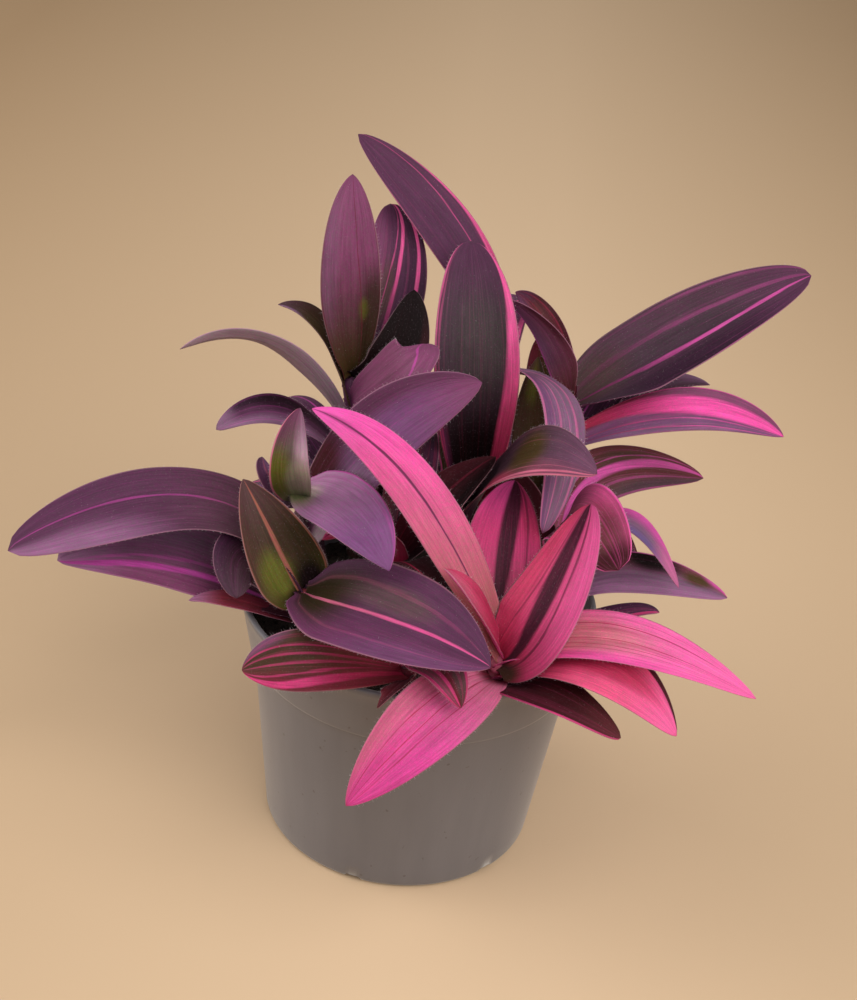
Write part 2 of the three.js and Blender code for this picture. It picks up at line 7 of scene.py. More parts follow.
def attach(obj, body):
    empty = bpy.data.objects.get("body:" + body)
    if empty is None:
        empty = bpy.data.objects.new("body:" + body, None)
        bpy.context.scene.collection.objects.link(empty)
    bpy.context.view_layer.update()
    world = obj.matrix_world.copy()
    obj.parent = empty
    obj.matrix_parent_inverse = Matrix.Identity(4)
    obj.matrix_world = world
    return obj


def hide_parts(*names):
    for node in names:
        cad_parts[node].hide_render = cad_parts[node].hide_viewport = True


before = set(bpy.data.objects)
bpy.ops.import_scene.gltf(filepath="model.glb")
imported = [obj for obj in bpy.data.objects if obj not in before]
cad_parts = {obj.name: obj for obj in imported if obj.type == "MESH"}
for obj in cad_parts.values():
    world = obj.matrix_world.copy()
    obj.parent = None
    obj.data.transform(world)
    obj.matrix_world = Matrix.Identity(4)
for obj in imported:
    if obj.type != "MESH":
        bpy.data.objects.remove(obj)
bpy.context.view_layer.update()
print("frame loaded")

mm = 0.001
rng = np.random.default_rng(7)

# leaf and stem colours, as seen in even light
tints = {
    "plum": "#56304c", "greyPlum": "#4e3443", "darkPlum": "#3f2038", "nightPlum": "#30182b",
    "royalPlum": "#683558", "rosePlum": "#7b4264", "mulberry": "#5f3552", "mauve": "#6c4460",
    "violet": "#70486e", "blueViolet": "#6a5484", "dustyViolet": "#7c5a76", "lilac": "#9c6c92",
    "paleOrchid": "#a8759c", "silver": "#97808c", "paleSilver": "#b593a5", "plumSlate": "#44313d",
    "darkSlate": "#3a2833", "sootGreen": "#3f3a38", "ink": "#120608", "blackMaroon": "#260909",
    "maroon": "#42171f", "redMaroon": "#64222e", "copper": "#96594c", "chestnut": "#5c2c30",
    "garnet": "#7c2c38", "umber": "#4a342a", "plumBrown": "#563a3e", "rosewood": "#7a4052",
    "darkWine": "#3e1828", "olive": "#48371c", "darkOlive": "#2e2413", "moss": "#5f5f24", "sage": "#8a8f62",
    "paleSage": "#a09c84", "taupe": "#5f5048", "brown": "#463024", "hotPink": "#ee55a8", "pink": "#d65590",
    "raspberry": "#b83a5e", "coralPink": "#e65a86", "brightGrape": "#774a78", "cerise": "#cc4490",
    "deepPink": "#bf3a70", "softPink": "#dc7a9c", "salmon": "#d2707a", "duskySalmon": "#b06868",
    "crimson": "#a82a4c", "magenta": "#b04494", "orchid": "#c24f98", "brightOrchid": "#e258b0",
    "brightPink": "#ef68aa", "dustyOrchid": "#b86490", "beigePink": "#cf7c84", "dustyPink": "#c0647e",
    "wine": "#6a2a50",
}


def linear(hexColour):
    # the usual curve from display values to linear light
    value = np.array([int(hexColour[k:k + 2], 16) for k in (1, 3, 5)]) / 255
    return np.where(value < 0.04045, value / 12.92, ((value + 0.055) / 1.055) ** 2.4)


def tint(name):
    return linear(tints[name])


def leaf(at, mid, tip, width, faces, cup=14, twist=0, blunt=0.75, widest=0.4, **look):
    # It leaves the stem at a share of its length and passes through mid and tip, in mm. faces is the
    # side that its upper face looks to, cup the half angle of its channel in degrees, twist how far
    # it turns towards the tip, blunt how round the tip is and widest where it is broadest. look holds
    # the colours, which paintLeaf lays on, and the markings, which leafSheet works out.
    look = {"right": look["left"], "under": "plum", "stripe": "magenta", "lines": 0.4, **look}
    return {"at": at, "mid": mid, "tip": tip, "width": width, "faces": faces, "cup": cup,
            "twist": twist, "blunt": blunt, "widest": widest, "look": look}


def wash(colour, u, halfAcross, v, halfAlong, slant=0, strength=1):
    # a soft patch round the place u across and v along; slant moves it sideways as v grows
    return colour, u, halfAcross, v, halfAlong, slant, strength


def line(u, half, strength=1):
    # a stripe that keeps its place and its width
    return u, half, u, half, 0, strength


# Each stripe is (place across, half width) at the base, the same at the tip, then how far it bows
# sideways halfway and its strength, if not 0 and 1. Across runs from -1 to 1 and is the right-hand
# side of a leaf that points up with its upper face to the viewer.
shoots = {
    "shoot_front": {
        "stem": ((20, -24, 52), (25, -34, 74), (28, -41, 97)), "bark": ("dustyPink", "salmon"),
        "leaves": [
            leaf(0.97, (-5, -29, 147), (-40, -9, 160), 17, (0.1, -0.7, 0.7), cup=16, left="pink",
                 right="hotPink", base="duskySalmon", reach=0.75, end="brightOrchid", under="pink",
                 stripe="wine", lines=0.2, stripes=[(0.07, 0.02, -0.05, 0.07)],
                 washes=[wash("wine", -0.05, 0.2, 0.9, 0.16, 0, 0.6)]),
            leaf(0.95, (39, -44, 117), (51, -11, 138), 29, (-0.5, -0.5, 0.7), cup=22, blunt=0.6,
                 left="raspberry", right="pink", base="crimson", reach=0.6, under="pink", stripe="darkWine",
                 lines=0.3,
                 stripes=[(0.25, 0.12, -0.1, 0.26, -0.17), (0.5, 0.02, 0.33, 0.05, -0.12, 0.7),
                          (-0.6, 0.012, -0.4, 0.03, 0, 0.5)], washes=[wash("brown", 0.7, 0.5, 0.05, 0.14)]),
            leaf(0.92, (25, -16, 119), (27, 7, 133), 26, (0, -0.7, 0.8), cup=20, left="deepPink",
                 base="dustyPink", reach=0.6, end="hotPink", under="pink", stripe="darkWine", lines=0.3,
                 stripes=[(-0.18, 0.05, 0.3, 0.38), (0.5, 0.02, 0.75, 0.05, 0, 0.6)],
                 washes=[wash("crimson", 1, 0.8, 0.8, 0.25, 0, 0.7)]),
            leaf(1, (16, -47, 121), (7, -43, 128), 10, (0.4, -0.2, 0.9), cup=50, left="dustyPink",
                 right="raspberry", base="crimson", reach=0.6, under="pink", stripe="darkPlum", lines=0.2),
            leaf(0.75, (9, -79, 100), (-15, -90, 70), 24, (-0.1, -0.5, 0.8), cup=12, twist=-9, widest=0.5,
                 left="cerise", right="pink", base="softPink", reach=0.75, end="cerise", under="deepPink",
                 stripe="crimson", lines=0.5,
                 stripes=[(0.35, 0.012, 0.4, 0.01), (-0.3, 0.012, -0.3, 0.01), line(0.02, 0.014)],
                 washes=[wash("dustyPink", 1, 0.6, 0.6, 0.4, 0, 0.7), wash("redMaroon", 0.2, 2, 0, 0.12)]),
            leaf(0.9, (59, -47, 112), (106, -59, 104), 22, (0.1, -0.2, 1), twist=8, left="brightPink",
                 base="salmon", reach=0.6, end="brightPink", under="pink", stripe="crimson", lines=0.6,
                 stripes=[(-0.55, 0.012, -0.5, 0.01), (0.05, 0.016, 0.05, 0.01), (0.3, 0.012, 0.3, 0.01)],
                 washes=[wash("beigePink", 0, 0.75, 0.38, 0.3, 0, 0.8),
                         wash("hotPink", 1, 0.4, 0.4, 0.4, 0, 0.8)]),
            leaf(0.74, (56, -55, 107), (84, -61, 88), 22, (0.1, -0.2, 1), twist=12, widest=0.55,
                 left="coralPink", base="crimson", reach=0.7, end="brightPink", under="pink", stripe="maroon",
                 lines=0.3, stripes=[(-1.0, 0.0, -0.85, 0.12)],
                 washes=[wash("crimson", -0.1, 0.45, 0.55, 0.3, -0.5, 0.85),
                         # the maroon wash over the tip's left edge is painted shadow
                         wash("maroon", -1, 0.3, 0.9, 0.15, 0, 0.7)]),
            leaf(0.68, (43, -62, 99), (66, -69, 91), 20, (0.1, -0.1, 1), blunt=0.6, left="blackMaroon",
                 right="maroon", end="chestnut", under="redMaroon", stripe="deepPink", lines=0.2,
                 stripes=[(0.98, 0.04, 0.95, 0.09)]),
            leaf(0.84, (59, -28, 106), (77, -25, 109), 12, (0, 0.1, 1), left="darkPlum", right="plum",
                 stripe="deepPink", stripes=[(0.75, 0.2, 0.7, 0.2)]),
        ],
    },
    "shoot_front_left": {
        "stem": ((-28, -8, 52), (-33, -16, 76), (-37, -26, 103)), "bark": ("redMaroon", "olive"),
        "leaves": [
            leaf(0.9, (-45, -23, 113), (-60, -13, 134), 26, (0.2, -0.8, 0.5), cup=40, left="umber",
                 right="darkOlive", base="moss", reach=0.5, throat="olive", end="plumBrown", stripe="copper",
                 lines=0.2,
                 stripes=[(-0.04, 0.07, 0.04, 0.06), (0.93, 0.03, 0.93, 0.02, 0, 0.6),
                          line(-0.97, 0.03, 0.6)],
                 # the two ink washes near the base are painted shadow cast by a leaf tip above
                 washes=[wash("moss", -0.35, 0.45, 0.38, 0.2), wash("ink", 0.45, 0.5, 0.2, 0.22),
                         wash("ink", -0.1, 0.4, 0.08, 0.14)]),
            leaf(0.98, (-6, -62, 120), (23, -82, 121), 38, (0, -0.4, 0.9), widest=0.3, left="plum",
                 right="royalPlum", middle="plum", throat="darkOlive", stripe="pink", stripeBase="dustyPink",
                 lines=0.05,
                 stripes=[(0.12, 0.04, -0.08, 0.05), (0.62, 0.03, 0.6, 0.02, 0, 0.14),
                          (-0.6, 0.04, -0.4, 0.03, 0, 0.12)],
                 washes=[wash("taupe", -0.35, 0.28, 0.42, 0.22, 0, 0.5),
                         wash("violet", 0.85, 0.4, 0.7, 0.3, 0, 0.5)]),
            leaf(0.92, (-72, -6, 119), (-134, -21, 102), 29, (-0.1, 0.1, 1), cup=12, twist=-37, blunt=0.55,
                 widest=0.65, left="plum", base="plumBrown", reach=0.85, end="plum", stripeBase="copper",
                 lines=0.15, stripes=[(0.0, 0.03, 0.3, 0.03, 0, 0.55)],
                 washes=[wash("lilac", -1, 0.8, 0.95, 0.3, 0, 0.65), wash("ink", 0, 3, 0, 0.12)]),
            leaf(0.72, (-83, -10, 100.5), (-119, -16, 97), 30, (-0.1, -0.3, 0.9), cup=12, blunt=0.65,
                 widest=0.45, left="rosePlum", right="dustyViolet", middle="mauve", base="maroon", reach=0.5,
                 end="lilac", under="violet", lines=0.3,
                 stripes=[(-0.15, 0.05, -0.68, 0.12), (0.2, 0.04, -0.45, 0.05, 0, 0.4)]),
            leaf(0.78, (-56, -18, 108.5), (-58, -30.5, 100), 22, (-0.3, -0.5, 0.8), cup=12, blunt=0.55,
                 left="plumBrown", right="darkPlum", end="greyPlum", lines=0.2),
            leaf(0.64, (-58, -25, 95), (-74, -26, 94), 9, (-0.1, -0.1, 1), left="garnet", end="lilac",
                 lines=0.2),
        ],
    },
    "shoot_left": {
        "stem": ((-34, 12, 52), (-40, 12, 84), (-43, 17, 117)), "bark": ("plum", "moss"),
        "leaves": [
            leaf(0.9, (-46, -10, 139), (-45, 7, 151), 14, (0.1, -0.8, 0.6), cup=35, left="plumBrown",
                 right="paleSilver", middle="taupe", base="sage", reach=0.4, end="rosePlum",
                 stripe="dustyPink", lines=0.15, stripes=[line(-0.95, 0.04)],
                 washes=[wash("moss", -0.6, 0.7, 0.42, 0.24), wash("paleSage", 0.5, 0.7, 0.3, 0.25, 0, 0.8)]),
            leaf(0.9, (-52, -3, 128), (-56, 4, 133), 9, (0.5, -0.7, 0.6), cup=40, left="mauve",
                 right="violet", base="dustyViolet", reach=0.5, stripe="dustyPink", lines=0.3,
                 stripes=[line(0.2, 0.1, 0.5)]),
            leaf(0.98, (-23, -25.2, 132.1), (-10, -49, 129), 24, (0.1, -0.7, 0.7), cup=12, blunt=0.85,
                 widest=0.25, left="brightGrape", base="paleOrchid", reach=0.75, end="brightGrape",
                 lines=0.15, stripes=[(-0.97, 0.03, -0.97, 0.02), (-0.7, 0.04, -0.9, 0.06, 0, 0.3)],
                 washes=[wash("sage", 0.7, 0.6, 0.05, 0.16), wash("paleSage", 0.1, 0.4, 0.05, 0.12, 0, 0.6)]),
            leaf(0.62, (-21.7, 7.3, 140.2), (12, -5.5, 174), 27, (-0.1, -0.6, 0.8), cup=12, twist=13,
                 blunt=0.65, widest=0.45, left="brightGrape", base="maroon", reach=0.25, end="rosePlum",
                 lines=0.12, stripes=[(0.05, 0.03, 0.0, 0.02, 0, 0.2)],
                 washes=[wash("mulberry", -1, 0.6, 0.6, 0.5),
                         wash("dustyViolet", 0.3, 0.9, 0.42, 0.16, 0, 0.5),
                         wash("silver", 0.7, 0.7, 0.2, 0.2), wash("maroon", -0.7, 0.7, 0.28, 0.14)]),
        ],
    },
    "shoot_back_left": {
        "stem": ((-18, 34, 52), (-28, 40, 96), (-31, 44, 146)), "bark": ("plum", "olive"),
        "leaves": [
            leaf(1, (-34.5, 39, 188), (-37, 54, 214), 20.5, (0.1, -0.8, 0.5), cup=24, left="rosePlum",
                 middle="rosePlum", base="olive", reach=0.6, end="rosePlum", stripe="redMaroon", lines=0.3,
                 stripes=[(0.5, 0.014, 0.1, 0.02, 0, 0.7), line(0.97, 0.03, 0.4), line(-0.98, 0.02, 0.6)],
                 washes=[wash("darkOlive", 0.8, 0.5, 0.25, 0.25, 0, 0.8),
                         wash("moss", 0.45, 0.15, 0.3, 0.05, 0, 0.7),
                         wash("dustyViolet", -0.8, 0.4, 0.55, 0.3, 0, 0.4)]),
            leaf(0.97, (-21, 59, 173), (-25, 81, 194), 24, (0.1, -0.7, 0.7), cup=20, blunt=0.55,
                 left="mulberry", right="darkPlum", stripe="pink", stripeBase="wine", lines=0.25,
                 stripes=[(0.35, 0.05, 0.6, 0.07, -0.4), (0.9, 0.05, 1.0, 0.07, -0.25),
                          (0.05, 0.02, 0.4, 0.02, -0.4, 0.6)],
                 washes=[wash("rosePlum", -0.8, 0.6, 0.6, 0.3, 0, 0.7),
                         wash("olive", -0.2, 0.3, 0.45, 0.2, 0, 0.5)]),
            # nearly black: the dark inner face of a sheathing leaf, with its shade painted in
            leaf(0.99, (-17, 34, 156), (-13, 46, 179), 20, (-0.1, -0.8, 0.6), cup=20, blunt=0.65, widest=0.55,
                 left="ink", under="maroon", stripe="maroon", lines=0.1,
                 washes=[wash("maroon", 0.9, 0.3, 0.65, 0.2, 0, 0.6)]),
            leaf(0.88, (-42, 45, 161), (-58, 46, 168), 11, (0.4, -0.2, 0.9), cup=20, left="olive",
                 right="brown", end="greyPlum", under="brown", stripe="maroon", lines=0.3,
                 washes=[wash("dustyViolet", -1, 0.4, 0.95, 0.2)]),
            leaf(0.8, (-57, 30, 161), (-87, 23, 159), 11, (-0.2, 0.6, 0.8), cup=20, twist=9,
                 left="paleSilver", right="silver", end="lilac", under="silver", lines=0.2),
            leaf(0.66, (-51, 19, 142), (-72, 8, 139), 14, (0.1, -0.4, 0.9), blunt=0.6, left="dustyViolet",
                 right="nightPlum", middle="plum", lines=0.3, stripes=[(-0.6, 0.03, -0.7, 0.03, 0, 0.4)],
                 washes=[wash("dustyViolet", 0, 2, 1, 0.14), wash("ink", 0.6, 0.5, 0.5, 0.25, 0, 0.7)]),
            leaf(0.88, (-14, 19, 162), (-7, 27, 169), 23, (-0.1, -0.6, 0.8), widest=0.45, left="rosePlum",
                 lines=0.2, stripes=[(1.6, 0.05, -0.55, 0.06, 0, 0.8)]),
            leaf(0.95, (-32, 66, 168), (-38, 90, 170), 20, (0, -0.5, 0.8), cup=18, left="plum",
                 right="greyPlum", under="violet", stripe="pink", stripes=[(0.0, 0.05, 0.0, 0.04)]),
            leaf(0.55, (-48, 58, 120), (-61, 84, 110), 20, (0, 0, 1), left="darkPlum", right="plum",
                 under="violet", stripes=[(0.1, 0.06, 0.1, 0.04), (0.7, 0.04, 0.7, 0.03)]),
        ],
    },
    "shoot_centre": {
        "stem": ((8, 30, 52), (14, 34, 100), (18, 60, 150)), "bark": ("darkPlum", "olive"),
        "leaves": [
            leaf(0.55, (10, 30, 164), (4, 59, 193), 29, (0.1, -0.7, 0.7), cup=12, blunt=0.55, widest=0.45,
                 left="plumSlate", right="darkSlate", middle="plumSlate", end="plum", stripe="pink",
                 stripeBase="crimson", lines=0.1,
                 stripes=[(0.78, 0.27, 1.03, 0.07, -0.04), line(-1.0, 0.05, 0.8), line(-0.9, 0.02, 0.3)],
                 # the ink wash over the base is the leaf's own dark base with painted shadow from the leaves
                 # in front
                 washes=[wash("sootGreen", 0.1, 0.7, 0.55, 0.2, 0, 0.5), wash("ink", 0.1, 2.5, 0.05, 0.32),
                         wash("wine", -1.1, 0.3, 0.25, 0.2, 0, 0.7)]),
            leaf(1, (1.8, 69.4, 184), (-38, 83, 217), 20, (0.2, -0.6, 0.8), twist=-7, blunt=0.65, widest=0.58,
                 left="plum", middle="plum", base="ink", reach=0.6, stripe="pink", stripeBase="crimson",
                 lines=0.1,
                 stripes=[(0.9, 0.22, 1.04, 0.02), (0.15, 0.018, 0.75, 0.018, 0, 0.6),
                          (-1.0, 0.04, -1.0, 0.02, 0, 0.4)]),
            leaf(0.48, (27, -4, 148), (51, -16, 152), 23, (-0.2, -0.4, 0.9), twist=6, blunt=0.65, widest=0.45,
                 left="greyPlum", right="rosewood", middle="greyPlum", base="ink", reach=0.62, end="mauve",
                 stripe="dustyPink", lines=0.35,
                 stripes=[(0.97, 0.05, 0.7, 0.05), (0.7, 0.02, 0.45, 0.02, 0, 0.5), (0.95, 0.0, 0.95, 0.05)],
                 washes=[wash("olive", -0.1, 0.8, 0.55, 0.12),
                         wash("crimson", 0.75, 0.45, 0.3, 0.25, 0.8, 0.8)]),
            leaf(0.96, (39, 19, 156), (37, -14, 127), 15, (0.4, -0.6, 0.7), cup=10, blunt=0.55, widest=0.55,
                 left="dustyViolet", right="violet", middle="dustyViolet", stripe="dustyOrchid",
                 stripes=[(-0.7, 0.05, -0.92, 0.07, 0.25), (-0.2, 0.02, -0.4, 0.03, 0.1, 0.6),
                          (0.15, 0.05, 0.2, 0.06, 0, 0.9), (0.45, 0.02, 0.5, 0.02, 0, 0.5),
                          (0.95, 0.06, 0.93, 0.08)]),
            leaf(0.85, (17, 82, 154), (30, 107, 151), 20, (0, -0.3, 1), left="plum", under="violet",
                 stripe="pink", stripes=[(0.0, 0.04, 0.0, 0.03), (0.8, 0.12, 0.9, 0.06)]),
        ],
    },
    "shoot_right_back": {
        "stem": ((28, 26, 52), (38, 30, 96), (44, 44, 146)), "bark": ("maroon", "olive"),
        "leaves": [
            leaf(0.97, (82, 61, 168.3), (119, 62, 193), 33, (-0.4, -0.4, 0.8), twist=9, blunt=0.55,
                 widest=0.3, left="greyPlum", right="nightPlum", middle="plumSlate", base="plumSlate",
                 reach=0.3, end="plum", stripe="orchid", stripeBase="wine", lines=0.2,
                 stripes=[(0.0, 0.045, 0.0, 0.06, 0.33), (-0.45, 0.05, -0.35, 0.07, 0.08, 0.3),
                          line(0.99, 0.02, 0.5), (-0.9, 0.03, -0.9, 0.04, 0, 0.25)],
                 washes=[wash("umber", -0.3, 0.8, 0.05, 0.2, 0, 0.5)]),
            leaf(0.84, (81, 41, 148), (115, 30, 148), 16, (0, -0.6, 0.8), cup=12, twist=7, widest=0.5,
                 left="rosePlum", right="violet", under="violet", stripe="hotPink", stripeBase="crimson",
                 lines=0.3,
                 stripes=[(-0.95, 0.3, -0.05, 0.45, 0.25), (-1.0, 0.06, -0.98, 0.02, 0, 0.7),
                          (0.6, 0.03, 0.9, 0.03, 0, 0.5), (0.2, 0.04, 0.6, 0.03, 0, 0.4)],
                 washes=[wash("redMaroon", -1, 0.7, 0.1, 0.3),
                         wash("dustyViolet", 1, 0.4, 0.4, 0.5, 0, 0.6)]),
            leaf(1, (35, 51, 164), (18, 54, 176), 14, (-0.8, -0.5, 0.4), cup=16, twist=-11, blunt=0.85,
                 widest=0.3, left="mauve", right="rosewood", base="chestnut", reach=0.5, end="royalPlum",
                 under="redMaroon", lines=0.2, stripes=[(-0.97, 0.04, -0.97, 0.1, 0, 0.7)],
                 washes=[wash("maroon", 0.8, 0.4, 0.65, 0.25, 0, 0.7)]),
            leaf(1, (34.2, 75, 156.5), (21.5, 75, 169), 12, (0.1, -0.6, 0.8), cup=16, widest=0.45,
                 left="royalPlum", right="maroon", middle="chestnut", stripe="crimson",
                 stripes=[line(0.1, 0.04, 0.3), line(0.7, 0.05, 0.3)],
                 washes=[wash("plum", 0, 2, 1, 0.2, 0, 0.7)]),
            leaf(0.6, (35.8, 56, 145), (35, 59, 163.5), 16, (-0.3, -0.8, 0.5), cup=30, left="redMaroon",
                 right="umber", middle="olive", under="brown", stripe="maroon", lines=0.3,
                 washes=[wash("moss", -0.05, 0.3, 0.35, 0.15, 0, 0.5)]),
            leaf(0.8, (69, 60, 143), (93, 66, 146), 13, (0, -0.1, 1), cup=12, left="dustyViolet",
                 right="greyPlum", lines=0.15),
            leaf(0.8, (56, 66, 144), (62, 90, 134), 20, (0, -0.3, 1), left="plum", right="darkPlum",
                 under="violet", stripes=[(0.0, 0.04, 0.0, 0.03)]),
            leaf(0.58, (33, 44, 128), (31.5, 55, 155), 15, (-0.2, -0.7, 0.6), left="brown", right="darkOlive",
                 middle="olive", base="ink", reach=0.5, under="maroon", stripe="maroon", lines=0.2,
                 washes=[wash("moss", -0.2, 0.4, 0.82, 0.12, 0, 0.6),
                         wash("brown", 0, 2, 0.6, 0.15, 0, 0.7)]),
        ],
    },
    "shoot_right": {
        "stem": ((38, 6, 52), (44, 2, 76), (46, -2, 100)), "bark": ("plum", "olive"),
        "leaves": [
            leaf(0.97, (46.1, -1.3, 127.1), (62, -22.5, 121.5), 29, (-0.2, -0.4, 0.9), twist=-16, blunt=0.4,
                 widest=0.45, left="pink", right="rosewood", middle="dustyPink", stripe="hotPink", lines=0.6,
                 stripes=[line(-0.98, 0.03), line(0.96, 0.03, 0.7)],
                 washes=[wash("crimson", -0.2, 0.5, 0.72, 0.16, 0, 0.4),
                         wash("rosewood", 0, 1.2, 0.35, 0.3, 0, 0.6),
                         wash("brown", 0.2, 1.3, 0.85, 0.22, 0, 0.75), wash("maroon", 0, 2, 1, 0.1)]),
            leaf(0.9, (62, 9, 121.5), (84.5, -6, 107), 12, (0.2, -0.1, 1), blunt=0.65, left="orchid",
                 right="blueViolet", middle="dustyViolet", under="violet", stripe="hotPink", lines=0.2,
                 stripes=[line(-0.98, 0.05, 0.5)],
                 washes=[wash("lilac", 0.5, 0.8, 0.3, 0.3, 0, 0.5), wash("dustyOrchid", 0, 1.6, 1, 0.16)]),
            leaf(0.75, (65, 10, 99), (103, 5, 98), 16, (0, -0.4, 0.9), cup=30, twist=15, blunt=0.65,
                 widest=0.55, left="rosewood", right="lilac", middle="dustyViolet", under="violet",
                 stripe="orchid", lines=0.2, stripes=[line(-0.98, 0.03)],
                 washes=[wash("ink", -0.75, 0.55, 0.68, 0.14, 0.6), wash("olive", -0.45, 0.4, 0.88, 0.06),
                         wash("orchid", -1, 0.4, 0.97, 0.06),
                         wash("redMaroon", -0.8, 0.4, 0.4, 0.12, 0, 0.7)]),
            leaf(0.85, (31, 14, 119), (21.5, 26.5, 123.5), 16, (-0.3, -0.5, 0.8), left="redMaroon",
                 right="maroon", middle="redMaroon", end="garnet", under="maroon", stripe="crimson",
                 lines=0.3),
            leaf(0.97, (52.6, 34.5, 118.8), (94.5, 50, 117.5), 20, (0.1, -0.8, 0.6), twist=8, blunt=0.65,
                 widest=0.5, left="chestnut", right="plumBrown", middle="chestnut", base="dustyPink",
                 reach=0.45, stripe="orchid",
                 stripes=[(0.3, 0.1, -0.5, 0.22, 0.1), (0.1, 0.02, -0.85, 0.03, 0, 0.6),
                          (0.6, 0.03, 0.3, 0.05, 0, 0.35), line(0.95, 0.03, 0.4)],
                 washes=[wash("umber", -0.4, 0.4, 0.75, 0.2, 0, 0.8),
                         wash("plumSlate", 0.8, 0.3, 0.85, 0.2, 0, 0.6)]),
        ],
    },
    "shoot_low_front": {
        "stem": ((0, -36, 52), (0, -42, 74), (-1, -48, 94)), "bark": ("redMaroon", "dustyPink"),
        "leaves": [
            leaf(0.92, (-30, -58, 99), (-52, -59, 93), 20, (0, -0.7, 0.7), widest=0.55, left="redMaroon",
                 right="brown", middle="brown", base="garnet", reach=0.6, stripe="deepPink",
                 stripeBase="crimson",
                 stripes=[(-0.3, 0.14, -1.0, 0.14), (-0.02, 0.03, -0.65, 0.04, 0, 0.65),
                          (0.08, 0.03, -0.12, 0.05, 0, 0.5), (0.2, 0.03, 0.28, 0.045, 0, 0.6),
                          (0.35, 0.03, 0.62, 0.05, 0, 0.7)], washes=[wash("mauve", 1, 0.4, 0.85, 0.2)]),
            leaf(0.97, (9, -72, 111), (16, -79, 103), 14, (0, -0.3, 0.9), cup=16, left="rosewood",
                 middle="redMaroon", stripe="deepPink", lines=0.5,
                 stripes=[(-0.97, 0.16, -0.95, 0.12), (0.2, 0.09, 0.3, 0.14), (0.88, 0.06, 0.9, 0.1),
                          (0.6, 0.02, 0.62, 0.02, 0, 0.6)],
                 washes=[wash("plumBrown", -0.45, 0.35, 0.8, 0.3)]),
            leaf(0.8, (-4, -67, 99), (-9, -73, 95), 9, (-0.5, -0.3, 0.8), cup=16, left="maroon",
                 right="redMaroon", under="redMaroon", stripe="deepPink"),
        ],
    },
    "shoot_middle": {
        "stem": ((-8, 6, 52), (-9, 4, 74), (-10, 0, 98)), "bark": ("maroon", "olive"),
        "leaves": [
            leaf(0.95, (-15, -6.5, 119), (-33, -17, 117), 18, (0, -0.1, 1), left="crimson", right="deepPink",
                 under="crimson", stripe="maroon", lines=0.5, stripes=[(0.2, 0.08, 0.2, 0.06)]),
            leaf(0.9, (-1, -22, 116), (9, -32, 108), 17, (0.1, -0.2, 1), left="ink", right="maroon",
                 under="maroon", stripe="crimson", stripes=[(0.6, 0.06, 0.6, 0.05)]),
            leaf(0.98, (3, 2, 124), (20, 16, 136), 21, (-0.2, -0.2, 1), left="maroon", right="ink",
                 under="maroon", stripe="crimson"),
            leaf(0.99, (-7, 18, 124), (-3, 42, 132), 17, (0.1, -0.7, 0.7), cup=24, left="maroon",
                 right="darkPlum", under="maroon", stripe="crimson"),
            leaf(0.75, (-16, -18, 103), (-24, -29, 108), 15, (-0.1, -0.1, 1), left="ink", under="maroon",
                 stripe="crimson", lines=0.3),
            leaf(0.85, (-11, 22, 105), (-9, 42, 98), 17, (0, 0, 1), left="darkPlum", right="maroon",
                 under="redMaroon", stripes=[(0.0, 0.05, 0.0, 0.04)]),
            leaf(0.98, (-14, 11, 113), (-24, 17, 128), 16, (0.2, -0.6, 0.8), left="ink", right="maroon",
                 under="maroon", stripe="crimson", lines=0.3),
        ],
    },
    "shoot_rear_left": {
        "stem": ((-30, 28, 52), (-36, 33, 76), (-40, 37, 98)), "bark": ("plum", "olive"),
        "leaves": [
            leaf(0.95, (-80, 39, 93), (-103, 40, 85), 21, (0, 0, 1), left="plum", right="violet",
                 under="violet", lines=0.35, stripes=[(0.0, 0.05, 0.0, 0.04)]),
            leaf(0.95, (-64, 58, 88), (-82, 78, 66), 21, (0, 0, 1), left="darkPlum", right="plum",
                 under="violet", stripe="pink", stripes=[(-0.1, 0.1, -0.1, 0.08), (0.7, 0.05, 0.7, 0.04)]),
            leaf(0.85, (-38, 76, 101), (-50, 102, 74), 22, (0, 0, 1), left="greyPlum", right="plum",
                 stripes=[(0.05, 0.05, 0.05, 0.04), (-0.6, 0.03, -0.6, 0.02)]),
            leaf(1, (-38, 69, 107), (-52, 83, 104), 21, (0, -0.3, 1), cup=18, left="violet", right="plum",
                 under="violet", lines=0.3, stripes=[(0.0, 0.04, 0.0, 0.03)]),
        ],
    },
    "shoot_rear": {
        "stem": ((2, 44, 52), (4, 49, 78), (6, 54, 104)), "bark": ("redMaroon", "olive"),
        "leaves": [
            leaf(0.95, (-8, 84, 116), (-24, 114, 100), 22, (0, 0, 1), left="plum", right="darkPlum",
                 stripe="pink", lines=0.5,
                 stripes=[(0.0, 0.16, 0.0, 0.12), (0.75, 0.06, 0.75, 0.04), (-0.7, 0.03, -0.7, 0.02)]),
            leaf(0.88, (26, 84, 108), (40, 112, 86), 23, (0, 0, 1), left="violet", right="plum",
                 under="violet", lines=0.35, stripes=[(0.0, 0.04, 0.0, 0.03)]),
            leaf(1, (10, 74, 132), (16, 98, 150), 21, (0, -0.7, 0.8), cup=20, left="greyPlum", right="plum",
                 base="olive", reach=0.4, stripe="pink",
                 stripes=[line(0.05, 0.05), (-0.9, 0.1, -0.95, 0.05)]),
            leaf(0.7, (2, 84, 98), (0, 108, 70), 22, (0, 0, 1), left="darkPlum", stripe="deepPink", lines=0.6,
                 stripes=[(-0.5, 0.08, -0.5, 0.06), (0.1, 0.05, 0.1, 0.04), (0.8, 0.14, 0.85, 0.1)]),
        ],
    },
    "shoot_rear_right": {
        "stem": ((28, 35, 52), (33, 38, 76), (37, 40, 98)), "bark": ("dustyPink", "olive"),
        "leaves": [
